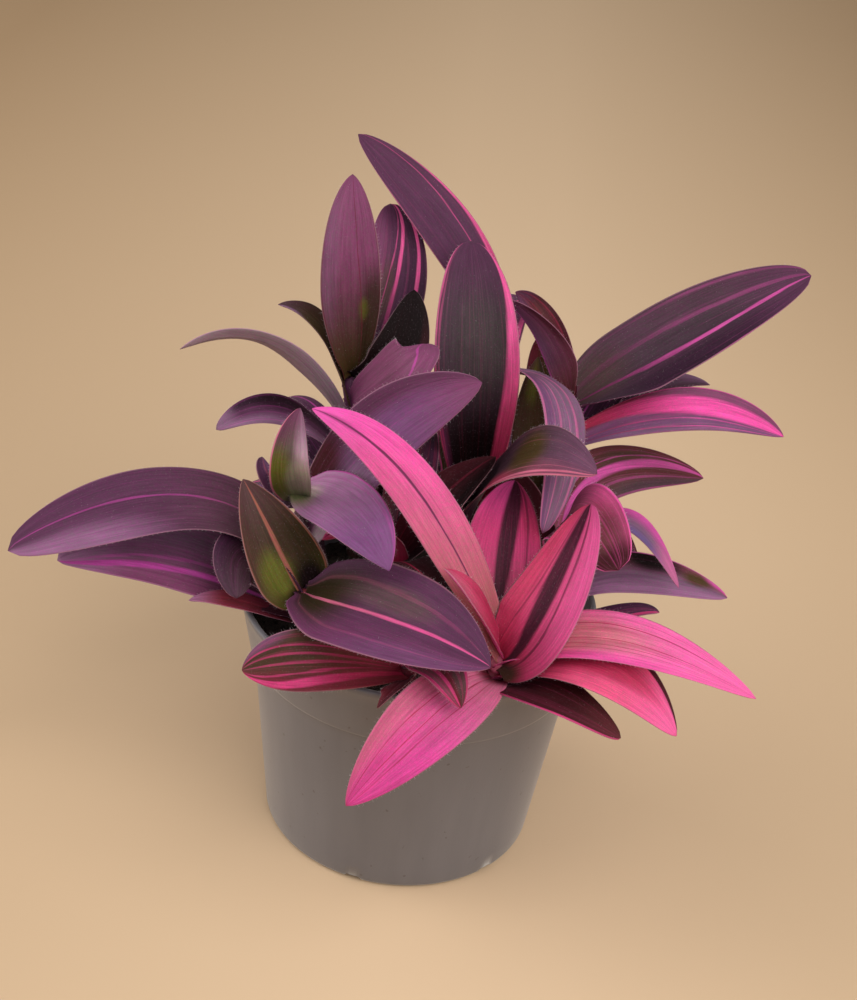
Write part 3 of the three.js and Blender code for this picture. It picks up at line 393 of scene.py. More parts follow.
            leaf(0.9, (57, 38, 104), (75, 35, 91), 16, (0, 0, 1), left="maroon", right="darkPlum",
                 stripe="crimson", stripes=[(0.0, 0.05, 0.0, 0.04)]),
            leaf(0.95, (61, 66, 108), (88, 97, 89), 21, (0, 0, 1), left="plum", stripe="pink", lines=0.5,
                 stripes=[(0.1, 0.25, 0.1, 0.2), (-0.6, 0.05, -0.6, 0.04)]),
            leaf(1, (42, 62, 120), (57, 86, 120), 20, (0, -0.5, 0.8), cup=18, left="plum", right="violet",
                 under="violet", lines=0.35, stripes=[(0.0, 0.05, 0.0, 0.04)]),
            leaf(0.85, (45, 72, 101), (54, 97, 70), 21, (0, 0, 1), left="deepPink", right="pink",
                 base="salmon", reach=0.4, under="deepPink", stripe="darkPlum", lines=0.6,
                 stripes=[(0.1, 0.12, 0.1, 0.14), (-0.5, 0.03, -0.5, 0.02)]),
        ],
    },
}

leafForm = {
    "rows": 60, "columns": 24,              # steps along and across each face
    "thickMid": 0.38, "thickEdge": 0.12,    # half thickness, mm
    "thinBelow": 1.5,                       # half width in mm under which a blade gets thinner
    "baseShare": 0.42, "tipWidth": 0.3,     # width at the base as a share, at the tip in mm
    "neckHalf": 4.2, "neckLength": 7,       # mm; how narrow the base is where it hugs the stem
    "claspAngle": 75, "claspLength": 0.3,   # how far the base wraps round, and over what share
    "groove": 0.3, "grooveWidth": 0.1,      # the fold along the midrib, mm and share of half width
    "ripple": 0.22, "rippleTurns": 11,      # the margins' waviness, mm and radians from base to tip
}


def unit(vectors):
    return vectors / np.maximum(np.linalg.norm(vectors, axis=-1, keepdims=True), 1e-9)


def pathLength(points):
    return np.linalg.norm(np.diff(points, axis=0), axis=1).sum()


def smooth(low, high, x):
    # 0 at low and 1 at high, with a level start and finish
    t = np.clip((x - low) / (high - low), 0, 1)
    return t * t * (3 - 2 * t)


def curveThrough(start, middle, end, t):
    # a parabola from start to end that passes through middle halfway: its points and directions
    start, middle, end = (np.array(p, float) for p in (start, middle, end))
    control = 2 * middle - (start + end) / 2
    t = np.asarray(t, float)[:, None]
    points = (1 - t) ** 2 * start + 2 * t * (1 - t) * control + t ** 2 * end
    return points, unit((1 - t) * (control - start) + t * (end - control))


def planeNormal(points, along, aside):
    # square to the curve's plane, or to its chord and aside where the curve is straight
    chord = unit(points[-1] - points[0])
    normal = np.cross(along[0], along[-1])
    if np.linalg.norm(normal) < 0.05:
        normal = np.cross(chord, aside)
    return unit(normal - (normal @ chord) * chord)


def leafAxes(row, root, v):
    # The midrib's points, and at each of them the directions along it, to the side and up from the
    # upper face. Up keeps its angle to the curve's plane and turns by the twist from base to tip.
    points, along = curveThrough(root, row["mid"], row["tip"], v)
    chord = unit(points[-1] - points[0])
    faces = np.array(row["faces"], float)
    faces = unit(faces - (faces @ chord) * chord)
    normal = planeNormal(points, along, faces)
    inPlane, outOfPlane = faces @ np.cross(normal, chord), faces @ normal
    up = np.cross(normal, along) * inPlane + normal * outOfPlane
    up = unit(up - np.sum(up * along, 1, keepdims=True) * along)
    side = np.cross(along, up)
    turn = np.radians(row["twist"]) * v[:, None]
    return points, along, np.cos(turn) * side - np.sin(turn) * up, np.cos(turn) * up + np.sin(turn) * side


def halfWidths(row, v, length):
    # a quarter sine out to the widest place, then one less the square of the way to the tip, to the
    # power blunt; near the stem no wider than the neck
    f, widest = leafForm, row["widest"]
    rise = np.sin(math.pi / 2 * np.minimum(v / widest, 1))
    fall = np.clip((v - widest) / (1 - widest), 0, 1)
    share = np.where(v < widest, f["baseShare"] + (1 - f["baseShare"]) * rise,
                     np.maximum(1 - fall ** 2, 0) ** row["blunt"])
    half = np.maximum(row["width"] * share, f["tipWidth"]) / 2
    free = smooth(0.0, f["neckLength"], v * length)
    return half * free + np.minimum(half, f["neckHalf"]) * (1 - free)


def leafRings(row, root, seed):
    # Rings round the blade from base to tip. A ring crosses the upper face from -1 to 1 and returns
    # below. Both faces follow an arc whose half angle falls from the clasp's to the cup's, moved out
    # along its own normal by the half thickness, with a fold at the midrib and a slow wave at the margins.
    f = leafForm
    v = np.linspace(0, 1, f["rows"] + 1)
    points, along, side, up = leafAxes(row, root, v)
    length = pathLength(points)
    half = halfWidths(row, v, length)
    clasp = np.maximum(0, 1 - v / f["claspLength"]) ** 1.5
    spread = np.radians(row["cup"] + (f["claspAngle"] - row["cup"]) * clasp)

    step = np.arange(f["columns"] + 1) / f["columns"]
    face = 0.5 * (2 * step - 1) - 0.5 * np.cos(math.pi * step)    # closer together near the margins
    ring = np.concatenate([face, face[-2:0:-1]])
    top = np.arange(len(ring)) <= f["columns"]
    across, down = np.meshgrid(ring, v)
    angle = spread[:, None] * across
    radius = (half / spread)[:, None]
    thick = f["thickEdge"] + (f["thickMid"] - f["thickEdge"]) * np.sqrt(np.maximum(1 - across ** 2, 0))
    thick = thick * np.where(np.abs(across) > 0.999, 0, 1) * np.where(top, 1, -1)
    thick = thick * np.minimum(1, half[:, None] / f["thinBelow"])
    body = np.sin(math.pi * np.clip(down, 0, 1)) ** 0.5
    fold = -f["groove"] * np.exp(-(across / f["grooveWidth"]) ** 2) * body
    wave = np.sin(f["rippleTurns"] * down + 1.7 * np.sign(across) + seed)
    wave = f["ripple"] * wave * across ** 2 * body
    x = radius * np.sin(angle) - thick * np.sin(angle)
    y = radius * (1 - np.cos(angle)) + thick * np.cos(angle) + fold + wave
    grid = points[:, None] + side[:, None] * x[..., None] + up[:, None] * y[..., None]
    return {"grid": grid, "across": across, "down": down, "top": np.broadcast_to(top, across.shape),
            "along": along, "side": side, "up": up, "length": length}


stemForm = {
    "lowRadius": 2.55, "topRadius": 1.95, "rows": 60, "sides": 20,
    "sheath": 0.55, "sheathLength": 6, "sheathEdge": (-0.8, 0.4),   # mm below the leaf that it ends at
    "topRound": 30,                                                 # higher is blunter
    "offLeaf": 5, "grainAround": 0.7, "grainAlong": 45,             # see stemSheet
}


def stemRings(stem, joints):
    # a round tube that narrows upward, with a thin sheath below each leaf and a rounded top
    s = stemForm
    t = np.linspace(0, 1, s["rows"] + 1)
    points, along = curveThrough(*stem, t)
    normal = planeNormal(points, along, np.array([0.0, 1, 0]))
    across = unit(np.cross(normal, along))
    radius = s["lowRadius"] + (s["topRadius"] - s["lowRadius"]) * t
    height = t * pathLength(points)
    for at in joints:
        below = at * height[-1] - height
        radius = radius + s["sheath"] * smooth(*s["sheathEdge"], below) * smooth(s["sheathLength"], 0, below)
    radius = radius * np.sqrt(np.clip((1.001 - t) * s["topRound"], 0, 1))
    angle = 2 * math.pi * np.arange(s["sides"]) / s["sides"]
    spokes = across[:, None] * np.cos(angle)[None, :, None] + normal * np.sin(angle)[None, :, None]
    return points[:, None] + radius[:, None, None] * spokes, t


leafPaint = {
    "sides": 0.75,                          # how far out the left and right colours are pure
    "throatAlong": (0.36, 0.12), "throatAcross": (1.1, 0.4),
    "endAlong": (0.6, 1.0), "endAmount": 0.8,
    "washEdge": (1.4, 0.5),                 # from no wash to full, in half sizes of the wash
    "stripeTurns": (0.1, 0.65),             # where a stripe changes from its base colour
}


def blend(below, above, amount):
    return below * (1 - amount[..., None]) + above * amount[..., None]


def paintLeaf(look, across, down, top):
    # Colour from left through middle to right, then washes of the base, the throat and the tip, then
    # the leaf's own washes, each an ellipse with a soft edge. Below, one plain colour.
    p = leafPaint
    left, right = tint(look["left"]), tint(look["right"])
    middle = tint(look["middle"]) if "middle" in look else (left + right) / 2
    toMiddle = smooth(-p["sides"], 0.0, across)[..., None]
    toRight = smooth(0.0, p["sides"], across)[..., None]
    face = left * (1 - toMiddle) + middle * (toMiddle - toRight) + right * toRight
    if "base" in look:
        face = blend(face, tint(look["base"]), smooth(look["reach"], 0.0, down))
    if "throat" in look:
        inside = smooth(*p["throatAlong"], down) * smooth(*p["throatAcross"], np.abs(across))
        face = blend(face, tint(look["throat"]), inside)
    if "end" in look:
        face = blend(face, tint(look["end"]), smooth(*p["endAlong"], down) * p["endAmount"])
    for colour, u, halfAcross, v, halfAlong, slant, strength in look.get("washes", []):
        away = np.hypot((across - u - slant * (down - v)) / halfAcross, (down - v) / halfAlong)
        face = blend(face, tint(colour), strength * smooth(*p["washEdge"], away))
    return np.where(top[..., None], face, tint(look["under"]))


bandCount = 5             # the most stripes on a leaf
noStripe = (9, 0, 9, 0, 0, 0)


def leafSheet(row, blade, seed):
    # the values that the leaf's material reads, on the blade's grid: place is (across, down, seed),
    # span the same in mm with the strength of the thin lines after the seed's point, and each band is
    # a stripe's (centre, half width, strength)
    look, across, down = row["look"], blade["across"], blade["down"]
    same = np.ones(across.shape)
    low, high = tint(look.get("stripeBase", look["stripe"])), tint(look["stripe"])
    sheet = {
        "grid": blade["grid"],
        "place": np.stack([across, down, same * seed], -1),
        "span": np.stack([across * row["width"] / 2, down * blade["length"], same * (seed + look["lines"])],
                         -1),
        "ground": paintLeaf(look, across, down, blade["top"]),
        "stripe": blend(low, high, smooth(*leafPaint["stripeTurns"], down)),
    }
    stripes = [tuple(s) + (0, 1)[len(s) - 4:] for s in look.get("stripes", [])]
    stripes += [noStripe] * (bandCount - len(stripes))
    for k, (u0, half0, u1, half1, bow, strength) in enumerate(stripes):
        centre = u0 + (u1 - u0) * down + 4 * bow * down * (1 - down)
        sheet[f"band{k}"] = np.stack([centre, half0 + (half1 - half0) * down, same * strength], -1)
    return sheet


def stemSheet(shoot, order):
    # the same values for the stem, whose place is too far across for any stripe or margin; its span
    # turns sides and height into the grain's mm
    s = stemForm
    grid, t = stemRings(shoot["stem"], [row["at"] for row in shoot["leaves"]])
    around, height = np.meshgrid(np.arange(grid.shape[1]), t)
    same = np.ones(around.shape)
    high, low = (tint(name) for name in shoot["bark"])
    sheet = {
        "grid": grid,
        "place": np.stack([same * s["offLeaf"], height, same * order], -1),
        "span": np.stack([around * s["grainAround"], height * s["grainAlong"], same * order], -1),
        "ground": blend(low, high, height),
        "stripe": same[..., None] * high,
    }
    sheet.update({f"band{k}": np.zeros(grid.shape) for k in range(bandCount)})
    return sheet


hairForm = {
    "edge": 280, "face": 90, "per": 60,               # so many hairs for each 60 mm of leaf
    "bareRows": 3,                                    # none on the first rings of a leaf
    "edgeLength": (0.5, 1.3), "faceLength": (0.3, 0.7), "radius": 0.012, "sunk": 0.1,    # mm
    "rise": 0.3, "lean": 0.35, "stray": 0.35, "faceLean": 0.3, "faceStray": 0.45,
}


def hairs(blade):
    # three-sided needles: each stands on a point of a margin or a face and leans along the leaf
    h, rows, columns = hairForm, leafForm["rows"], leafForm["columns"]
    amount = blade["length"] / h["per"]
    count, faceCount = int(h["edge"] * amount), int(h["face"] * amount)
    grid, up, along = blade["grid"], blade["up"], blade["along"]
    i = rng.integers(h["bareRows"], rows - 1, count)
    margin = rng.integers(0, 2, count)
    aim = blade["side"][i] * (2 * margin - 1)[:, None]
    aim = aim + up[i] * rng.normal(h["rise"], h["stray"], (count, 1))
    aim = aim + along[i] * rng.normal(h["lean"], h["stray"], (count, 1))
    length = rng.uniform(*h["edgeLength"], count)
    k = rng.integers(h["bareRows"], rows - 2, faceCount)
    column = rng.integers(1, columns, faceCount)
    foot = np.concatenate([grid[i, margin * columns], grid[k, column]])
    lean = up[k] + rng.normal(0, h["faceStray"], (faceCount, 3)) + h["faceLean"] * along[k]
    aim = unit(np.concatenate([aim, lean]))
    length = np.concatenate([length, rng.uniform(*h["faceLength"], faceCount)])
    first = unit(np.cross(aim, rng.normal(0, 1, aim.shape)))
    second = np.cross(aim, first)
    angle = 2 * math.pi * np.arange(3) / 3
    spokes = first[:, None] * np.cos(angle)[None, :, None] + second[:, None] * np.sin(angle)[None, :, None]
    ring = foot[:, None] - h["sunk"] * aim[:, None] + h["radius"] * spokes
    points = np.concatenate([ring, (foot + aim * length[:, None])[:, None]], 1).reshape(-1, 3)
    corners = np.array([[0, 1, 3], [1, 2, 3], [2, 0, 3], [0, 2, 1]])
    faces = 4 * np.arange(len(foot))[:, None, None] + corners[None]
    return points, faces.reshape(-1, 3)


def ringFaces(rows, count, first):
    # quads between rings, and a fan over each end round a point that is added after the rings
    i, k = np.meshgrid(np.arange(rows), np.arange(count), indexing="ij")
    a = first + i * count + k
    b = first + i * count + (k + 1) % count
    quads = np.stack([a, b, b + count, a + count], -1).reshape(-1, 4)
    k = np.arange(count)
    low = first + (rows + 1) * count
    last = first + rows * count
    start = np.stack([np.full(count, low), first + (k + 1) % count, first + k], -1)
    finish = np.stack([np.full(count, low + 1), last + k, last + (k + 1) % count], -1)
    return quads, np.concatenate([start, finish])


def withEnds(values):
    # a grid as one list, and after it the middles of its first and last rings, for the end fans
    return np.concatenate([values.reshape(-1, 3), values[0].mean(0)[None], values[-1].mean(0)[None]])


def buildMesh(name, points, quads, triangles, materials):
    mesh = bpy.data.meshes.new(name)
    mesh.from_pydata((points * mm).tolist(), [], quads.tolist() + triangles.tolist())
    mesh.polygons.foreach_set("use_smooth", np.ones(len(mesh.polygons), bool))
    for material in materials:
        mesh.materials.append(material)
    mesh.update()
    piece = bpy.data.objects.new(name, mesh)
    bpy.context.scene.collection.objects.link(piece)
    return piece


def buildShoot(name, shoot, order, materials):
    # one mesh of the stem's rings, each leaf's rings and, with the second material, all the hairs
    sheets, needles = [stemSheet(shoot, order)], []
    for number, row in enumerate(shoot["leaves"]):
        seed = order * 10 + number
        root = curveThrough(*shoot["stem"], [row["at"]])[0][0]
        blade = leafRings(row, root, seed)
        sheets.append(leafSheet(row, blade, seed))
        needles.append(hairs(blade))
    quads, triangles, total = [], [], 0
    for sheet in sheets:
        rows, count = sheet["grid"].shape[:2]
        ringQuads, fans = ringFaces(rows - 1, count, total)
        quads.append(ringQuads)
        triangles.append(fans)
        total += rows * count + 2
    skinFaces = sum(len(faces) for faces in quads + triangles)
    skinPoints = total
    for points, faces in needles:
        triangles.append(faces + total)
        total += len(points)

    points = [withEnds(sheet["grid"]) for sheet in sheets] + [points for points, faces in needles]
    piece = buildMesh(name + "_leaves", np.concatenate(points), np.concatenate(quads),
                      np.concatenate(triangles), materials)
    bald = np.zeros((total - skinPoints, 3))
    for label in [key for key in sheets[0] if key != "grid"]:
        values = np.concatenate([withEnds(sheet[label]) for sheet in sheets] + [bald])
        colour = label in ("ground", "stripe")
        if colour:
            values = np.pad(values, ((0, 0), (0, 1)), constant_values=1)
        layer = piece.data.attributes.new(label, "FLOAT_COLOR" if colour else "FLOAT_VECTOR", "POINT")
        layer.data.foreach_set("color" if colour else "vector", values.astype(np.float32).ravel())
    hairy = np.arange(len(piece.data.polygons)) >= skinFaces
    piece.data.polygons.foreach_set("material_index", hairy.astype(np.int32))
    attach(piece, "root")
    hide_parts(name)


def newMaterial(name):
    material = bpy.data.materials.new(name)
    material.use_nodes = True
    tree = material.node_tree
    return material, tree, tree.nodes["Principled BSDF"]


def addNode(tree, kind, inputs=None, **settings):
    # inputs holds values or other nodes' outputs, by socket name or number
    node = tree.nodes.new(kind)
    for key, value in settings.items():
        setattr(node, key, value)
    for key, value in (inputs or {}).items():
        socket = node.inputs[key]
        if isinstance(value, bpy.types.NodeSocket):
            tree.links.new(value, socket)
        else:
            socket.default_value = value
    return node


def sums(tree, operation, a, b=0.0, clamp=False):
    return addNode(tree, "ShaderNodeMath", {0: a, 1: b}, operation=operation, use_clamp=clamp).outputs[0]


def product(tree, *values):
    result = values[0]
    for value in values[1:]:
        result = sums(tree, "MULTIPLY", result, value)
    return result


def mixColour(tree, amount, a, b, mode="MIX"):
    node = addNode(tree, "ShaderNodeMix", {0: amount, 6: a, 7: b}, data_type="RGBA", blend_type=mode)
    return node.outputs[2]


def scaled(tree, vector, scale):
    return addNode(tree, "ShaderNodeVectorMath", {0: vector, 1: scale}, operation="MULTIPLY").outputs[0]


def noise(tree, vector, scale, detail=2.0, roughness=0.5):
    inputs = {"Vector": vector, "Scale": scale, "Detail": detail, "Roughness": roughness}
    return addNode(tree, "ShaderNodeTexNoise", inputs).outputs["Fac"]


def toRange(tree, value, low, high, newLow=0.0, newHigh=1.0):
    inputs = {0: value, 1: low, 2: high, 3: newLow, 4: newHigh}
    return addNode(tree, "ShaderNodeMapRange", inputs).outputs[0]


def readAttribute(tree, label, output="Vector"):
    return addNode(tree, "ShaderNodeAttribute", attribute_name=label).outputs[output]


def splitVector(tree, vector):
    return addNode(tree, "ShaderNodeSeparateXYZ", {0: vector}).outputs


def addBump(tree, shader, height, strength, distance):
    bump = addNode(tree, "ShaderNodeBump", {"Strength": strength, "Distance": distance, "Height": height})
    tree.links.new(bump.outputs[0], shader.inputs["Normal"])


# scale across and along the leaf in waves per mm, and between leaves; detail; roughness; and the
# noise's levels from which to which it is put to use
leafPatterns = {
    "fine": ((2.1, 0.06, 1.0), 3.0, 0.6, (0.36, 0.64)),
    "broad": ((0.5, 0.03, 1.3), 2.0, 0.5, (0.35, 0.65)),
    "mottle": ((0.2, 0.12, 2.1), 4.0, 0.6, (0.3, 0.7)),
    "grain": ((6.0, 3.5, 1.0), 2.0, 0.5, (0.36, 0.64)),
    "lines": ((1.25, 0.012, 3.0), 1.0, 0.5, (0.56, 0.7)),
    "fleck": ((1.9, 0.9, 1.7), 2.0, 0.7, (0.36, 0.64)),
    # down: pale patches of hairs, partly painted sheen
    "down": ((1.7, 1.7, 1.0), 2.0, 0.7, (0.58, 0.74)),
    "dust": ((1.3, 1.3, 1.0), 1.0, 0.5, (0.79, 0.82)),
}

leafFinish = {
    "roughness": (0.3, 0.7, 0.44, 0.6), "specular": 0.1,   # levels of the grain, and its ends
    "sheen": 0.012, "sheenRoughness": 0.35, "sheenTint": (0.9, 0.78, 1.0, 1),
    "wander": 0.14,                           # how far a stripe strays sideways
    "softness": (0.014, 0.4),                 # a stripe's soft edge: at least, and per half width
    "streaked": (0.34, 0.56, 0.88, 1.0),      # levels of the fine streaks, and a stripe's strength there
    "lineStrength": 0.45,
    "undulation": 0.28, "veins": 0.018, "grain": 0.012,    # relief in mm
    "veinShade": (0.86, 1.12), "broadShade": (0.93, 1.07),
    "mottleShade": (0.93, 1.07), "grainShade": (0.9, 1.1),
    "pinkFleck": (1.1, 0.86, 1.06, 1), "greenFleck": (0.9, 1.12, 0.93, 1),
    "edgeColour": (0.44, 0.26, 0.3, 1), "edgePale": 0.6, "edgeStripe": 0.3,
    "edgeAcross": (0.965, 0.985), "edgeAlong": (0.08, 0.25),
    "downSheenColour": (0.4, 0.3, 0.36, 1), "downSheenAmount": 0.1,
    "dustColour": (0.5, 0.42, 0.42, 1), "dustAmount": 0.35,
}


def stripeMask(tree, across, wander):
    # the highest of the bands: each is its strength within half a width of its centre, with soft edges
    least, perHalf = leafFinish["softness"]
    across = sums(tree, "ADD", across, wander)
    mask = None
    for k in range(bandCount):
        centre, half, strength = splitVector(tree, readAttribute(tree, f"band{k}"))
        away = sums(tree, "ABSOLUTE", sums(tree, "SUBTRACT", across, centre))
        soft = sums(tree, "ADD", product(tree, half, perHalf), least)
        inside = sums(tree, "DIVIDE", sums(tree, "SUBTRACT", half, away), soft)
        inside = product(tree, sums(tree, "ADD", inside, 0.5, clamp=True), strength)
        mask = inside if mask is None else sums(tree, "MAXIMUM", mask, inside)
    return mask


def leafMaterial():
    f = leafFinish
    material, tree, shader = newMaterial("leafSkin")
    across, down = splitVector(tree, readAttribute(tree, "place"))[:2]
    span = readAttribute(tree, "span")
    ground, stripe = readAttribute(tree, "ground", "Color"), readAttribute(tree, "stripe", "Color")
    pattern = {}
    for name, (scale, detail, roughness, levels) in leafPatterns.items():
        pattern[name] = noise(tree, scaled(tree, span, scale), 1.0, detail, roughness)
    fine, grain = pattern["fine"], pattern["grain"]

    def level(name, low=0.0, high=1.0):
        return toRange(tree, pattern[name], *leafPatterns[name][3], low, high)

    # stripes, streaked along their length, and scattered thin lines of the same colour, as strong as
    # the fraction of the span's seed says
    wander = product(tree, sums(tree, "SUBTRACT", pattern["broad"], 0.5), f["wander"])
    mask = product(tree, stripeMask(tree, across, wander), toRange(tree, fine, *f["streaked"]))
    strength = sums(tree, "FRACT", splitVector(tree, span)[2])
    thin = product(tree, level("lines"), product(tree, strength, f["lineStrength"]))
    colour = mixColour(tree, sums(tree, "MAXIMUM", mask, thin), ground, stripe)

    # darker and paler along the veins, in patches and from cell to cell
    shade = product(tree, level("fine", *f["veinShade"]), level("broad", *f["broadShade"]),
                    level("mottle", *f["mottleShade"]), level("grain", *f["grainShade"]))
    grey = addNode(tree, "ShaderNodeCombineColor", {0: shade, 1: shade, 2: shade}).outputs[0]
    colour = mixColour(tree, 1.0, colour, grey, "MULTIPLY")

    # fine flecks that lean to magenta or to green, as cells under the skin do
    flecked = mixColour(tree, level("fleck"), f["pinkFleck"], f["greenFleck"])
    colour = mixColour(tree, 1.0, colour, flecked, "MULTIPLY")

    # a pale line along the margins but not on the stem, pale patches of down that are partly painted sheen of
    # hairs catching the light, and a few specks of dust
    edge = toRange(tree, sums(tree, "ABSOLUTE", across), *f["edgeAcross"], 0.0, f["edgePale"])
    edge = product(tree, edge, sums(tree, "LESS_THAN", across, 1.5), toRange(tree, down, *f["edgeAlong"]))
    colour = mixColour(tree, edge, colour, mixColour(tree, f["edgeStripe"], f["edgeColour"], stripe))
    colour = mixColour(tree, level("down", 0.0, f["downSheenAmount"]), colour, f["downSheenColour"])
    colour = mixColour(tree, level("dust", 0.0, f["dustAmount"]), colour, f["dustColour"])
    tree.links.new(colour, shader.inputs["Base Color"])

    tree.links.new(toRange(tree, grain, *f["roughness"]), shader.inputs["Roughness"])
    shader.inputs["Specular IOR Level"].default_value = f["specular"]
    shader.inputs["Sheen Weight"].default_value = f["sheen"]
    shader.inputs["Sheen Roughness"].default_value = f["sheenRoughness"]
    shader.inputs["Sheen Tint"].default_value = f["sheenTint"]
    height = sums(tree, "ADD", product(tree, fine, f["veins"]), product(tree, grain, f["grain"]))
    height = sums(tree, "ADD", height, product(tree, pattern["mottle"], f["undulation"]))
    addBump(tree, shader, height, 1.0, mm)
    return material


hairFinish = {"dim": (0.62, 0.47, 0.56, 1), "bright": (0.85, 0.74, 0.78, 1), "scale": 90.0, "roughness": 0.5}


def hairMaterial():
    material, tree, shader = newMaterial("leafHair")
    where = addNode(tree, "ShaderNodeTexCoord").outputs["Object"]
    colour = mixColour(tree, noise(tree, where, hairFinish["scale"]), hairFinish["dim"], hairFinish["bright"])
    tree.links.new(colour, shader.inputs["Base Color"])
    shader.inputs["Roughness"].default_value = hairFinish["roughness"]
    return material


potForm = {
    "height": 90, "rim": 60, "collarLow": 55.9, "collarHeight": 21.3, "step": 1.3, "foot": 46.3,
    "wall": 1.4, "floor": 1.8, "recess": 1.6, "pad": 14, "ringInner": 40, "bevel": 1.5,
    "footInset": 2.5, "footRound": (2.7, 2.6), "lipRound": (0.95, 0.7),   # round edges, out and up
    # points that ease the step, the collar's lower edge and the lip, as ways out and up from each
    "stepEase": [(-0.15, -0.9), (0, -0.25), (0.3, 0)],
    "collarEase": [(-0.35, 0), (-0.05, 0.25), (0.1, 1.0)],
    "lipEase": [(-0.3, -2.4), (0, -1.8)],
    "lipInside": 2.2, "collarInside": 1, "floorEase": (1.2, 1.5),
    "notches": 6, "notchWidth": 5, "notchHeight": 2.2, "firstNotch": 15,
    "holes": 6, "holeCircle": 27, "holeRadius": 3, "holeSides": 24,
    "segments": 288, "profileStep": 6.0,
}


def arc(centre, radii, start, end, count):
    # points on part of an ellipse, from one angle to another in degrees
    angle = np.radians(np.linspace(start, end, count))
    return np.stack([centre[0] + radii[0] * np.cos(angle), centre[1] + radii[1] * np.sin(angle)], 1)


def potProfile():
    # radius and height, from the middle of the underside, up the outer wall, over the lip and down inside
    p = potForm
    low = p["height"] - p["collarHeight"]
    wallTop = p["collarLow"] - p["step"]
    slope = (wallTop - p["foot"]) / low
    lean = (p["rim"] - p["collarLow"]) / p["collarHeight"]
    floorTop = p["recess"] + p["floor"]
    inset, roundUp = p["footInset"], p["footRound"][1]
    lipOut, lipUp = p["lipRound"]

    def inner(z):
        return p["foot"] + slope * z - p["wall"]

    def innerCollar(z):
        return p["collarLow"] + lean * (z - low) - p["wall"]

    under = [(p["pad"], 0), (p["pad"] + p["bevel"], p["recess"]), (p["ringInner"] - p["bevel"], p["recess"]),
             (p["ringInner"], 0), (p["foot"] - roundUp, 0)]
    foot = arc((p["foot"] - inset + slope * inset, roundUp), p["footRound"], -80, -8, 7)
    lip = arc((p["rim"] - lipOut, p["height"] - lipUp), p["lipRound"], 0, 180, 9)
    lipLow, collarLow = p["height"] - p["lipInside"], low + p["collarInside"]
    floorIn, floorUp = p["floorEase"]
    inside = [(innerCollar(lipLow), lipLow), (innerCollar(collarLow), collarLow), (inner(low), low),
              (inner(floorTop + floorUp), floorTop + floorUp), (inner(floorTop) - floorIn, floorTop)]
    return np.concatenate([
        under, foot, np.add((wallTop, low), p["stepEase"]), np.add((p["collarLow"], low), p["collarEase"]),
        np.add((p["rim"], p["height"]), p["lipEase"]), lip, inside])


def refine(profile, step):
    # extra points along each straight run, no further apart than step
    runs = []
    for a, b in zip(profile[:-1], profile[1:]):
        count = max(1, int(math.ceil(np.linalg.norm(b - a) / step)))
        runs.append(a + (b - a) * (np.arange(count) / count)[:, None])
    return np.concatenate(runs + [profile[-1:]])


def cutHoles(piece):
    # upright cylinders on a circle, taken out of the floor
    p = potForm
    sides = p["holeSides"]
    turn = 2 * math.pi * np.arange(sides) / sides
    place = math.radians(p["firstNotch"]) + 2 * math.pi * np.arange(p["holes"]) / p["holes"]
    x = p["holeCircle"] * np.cos(place)[:, None] + p["holeRadius"] * np.cos(turn)
    y = p["holeCircle"] * np.sin(place)[:, None] + p["holeRadius"] * np.sin(turn)
    ends = (-2, p["recess"] + p["floor"] + 2)
    points = np.stack([np.stack([x, y, 0 * x + z], -1) for z in ends], 1).reshape(-1, 3)
    k, after = np.arange(sides), (np.arange(sides) + 1) % sides
    around = np.stack([k, after, after + sides, k + sides], -1)
    faces = []
    for first in range(0, len(points), 2 * sides):
        faces += (around + first).tolist() + [(first + k[::-1]).tolist(), (first + sides + k).tolist()]
    mesh = bpy.data.meshes.new("drill")
    mesh.from_pydata((points * mm).tolist(), [], faces)
    drill = bpy.data.objects.new("drill", mesh)
    bpy.context.scene.collection.objects.link(drill)
    cut = piece.modifiers.new("holes", "BOOLEAN")
    cut.operation, cut.object, cut.solver = "DIFFERENCE", drill, "EXACT"
    bpy.context.view_layer.update()
    piece.data = bpy.data.meshes.new_from_object(piece.evaluated_get(bpy.context.evaluated_depsgraph_get()))
    piece.modifiers.clear()
    bpy.data.objects.remove(drill)


def buildPot(material):
    # the profile turned about Z, with its foot lifted into a low arch at each drain notch
    p = potForm
    profile = refine(potProfile(), p["profileStep"])
    angle = 2 * math.pi * np.arange(p["segments"]) / p["segments"]
    radius, height = profile[:, 0][:, None], profile[:, 1][:, None]
    pitch = 2 * math.pi / p["notches"]
    away = (angle - math.radians(p["firstNotch"]) + pitch / 2) % pitch - pitch / 2
    halfNotch = p["notchWidth"] / 2
    arch = p["notchHeight"] * smooth(halfNotch + 0.5, halfNotch - 0.4, np.abs(away) * p["foot"])[None]
    outside = np.arange(len(profile))[:, None] < len(profile) // 2
    ring = outside & (radius > p["ringInner"] - 0.5) & (height < p["notchHeight"])
    z = np.where(ring, np.maximum(height, arch), height)
    grid = np.stack([radius * np.cos(angle), radius * np.sin(angle), z + 0 * angle], -1)
    quads, triangles = ringFaces(len(profile) - 1, p["segments"], 0)
    points = np.concatenate([grid.reshape(-1, 3), [[0, 0, 0], [0, 0, p["recess"] + p["floor"]]]])
    piece = buildMesh("pot_shell", points, quads, triangles, [material])
    cutHoles(piece)
    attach(piece, "root")
    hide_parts("pot")


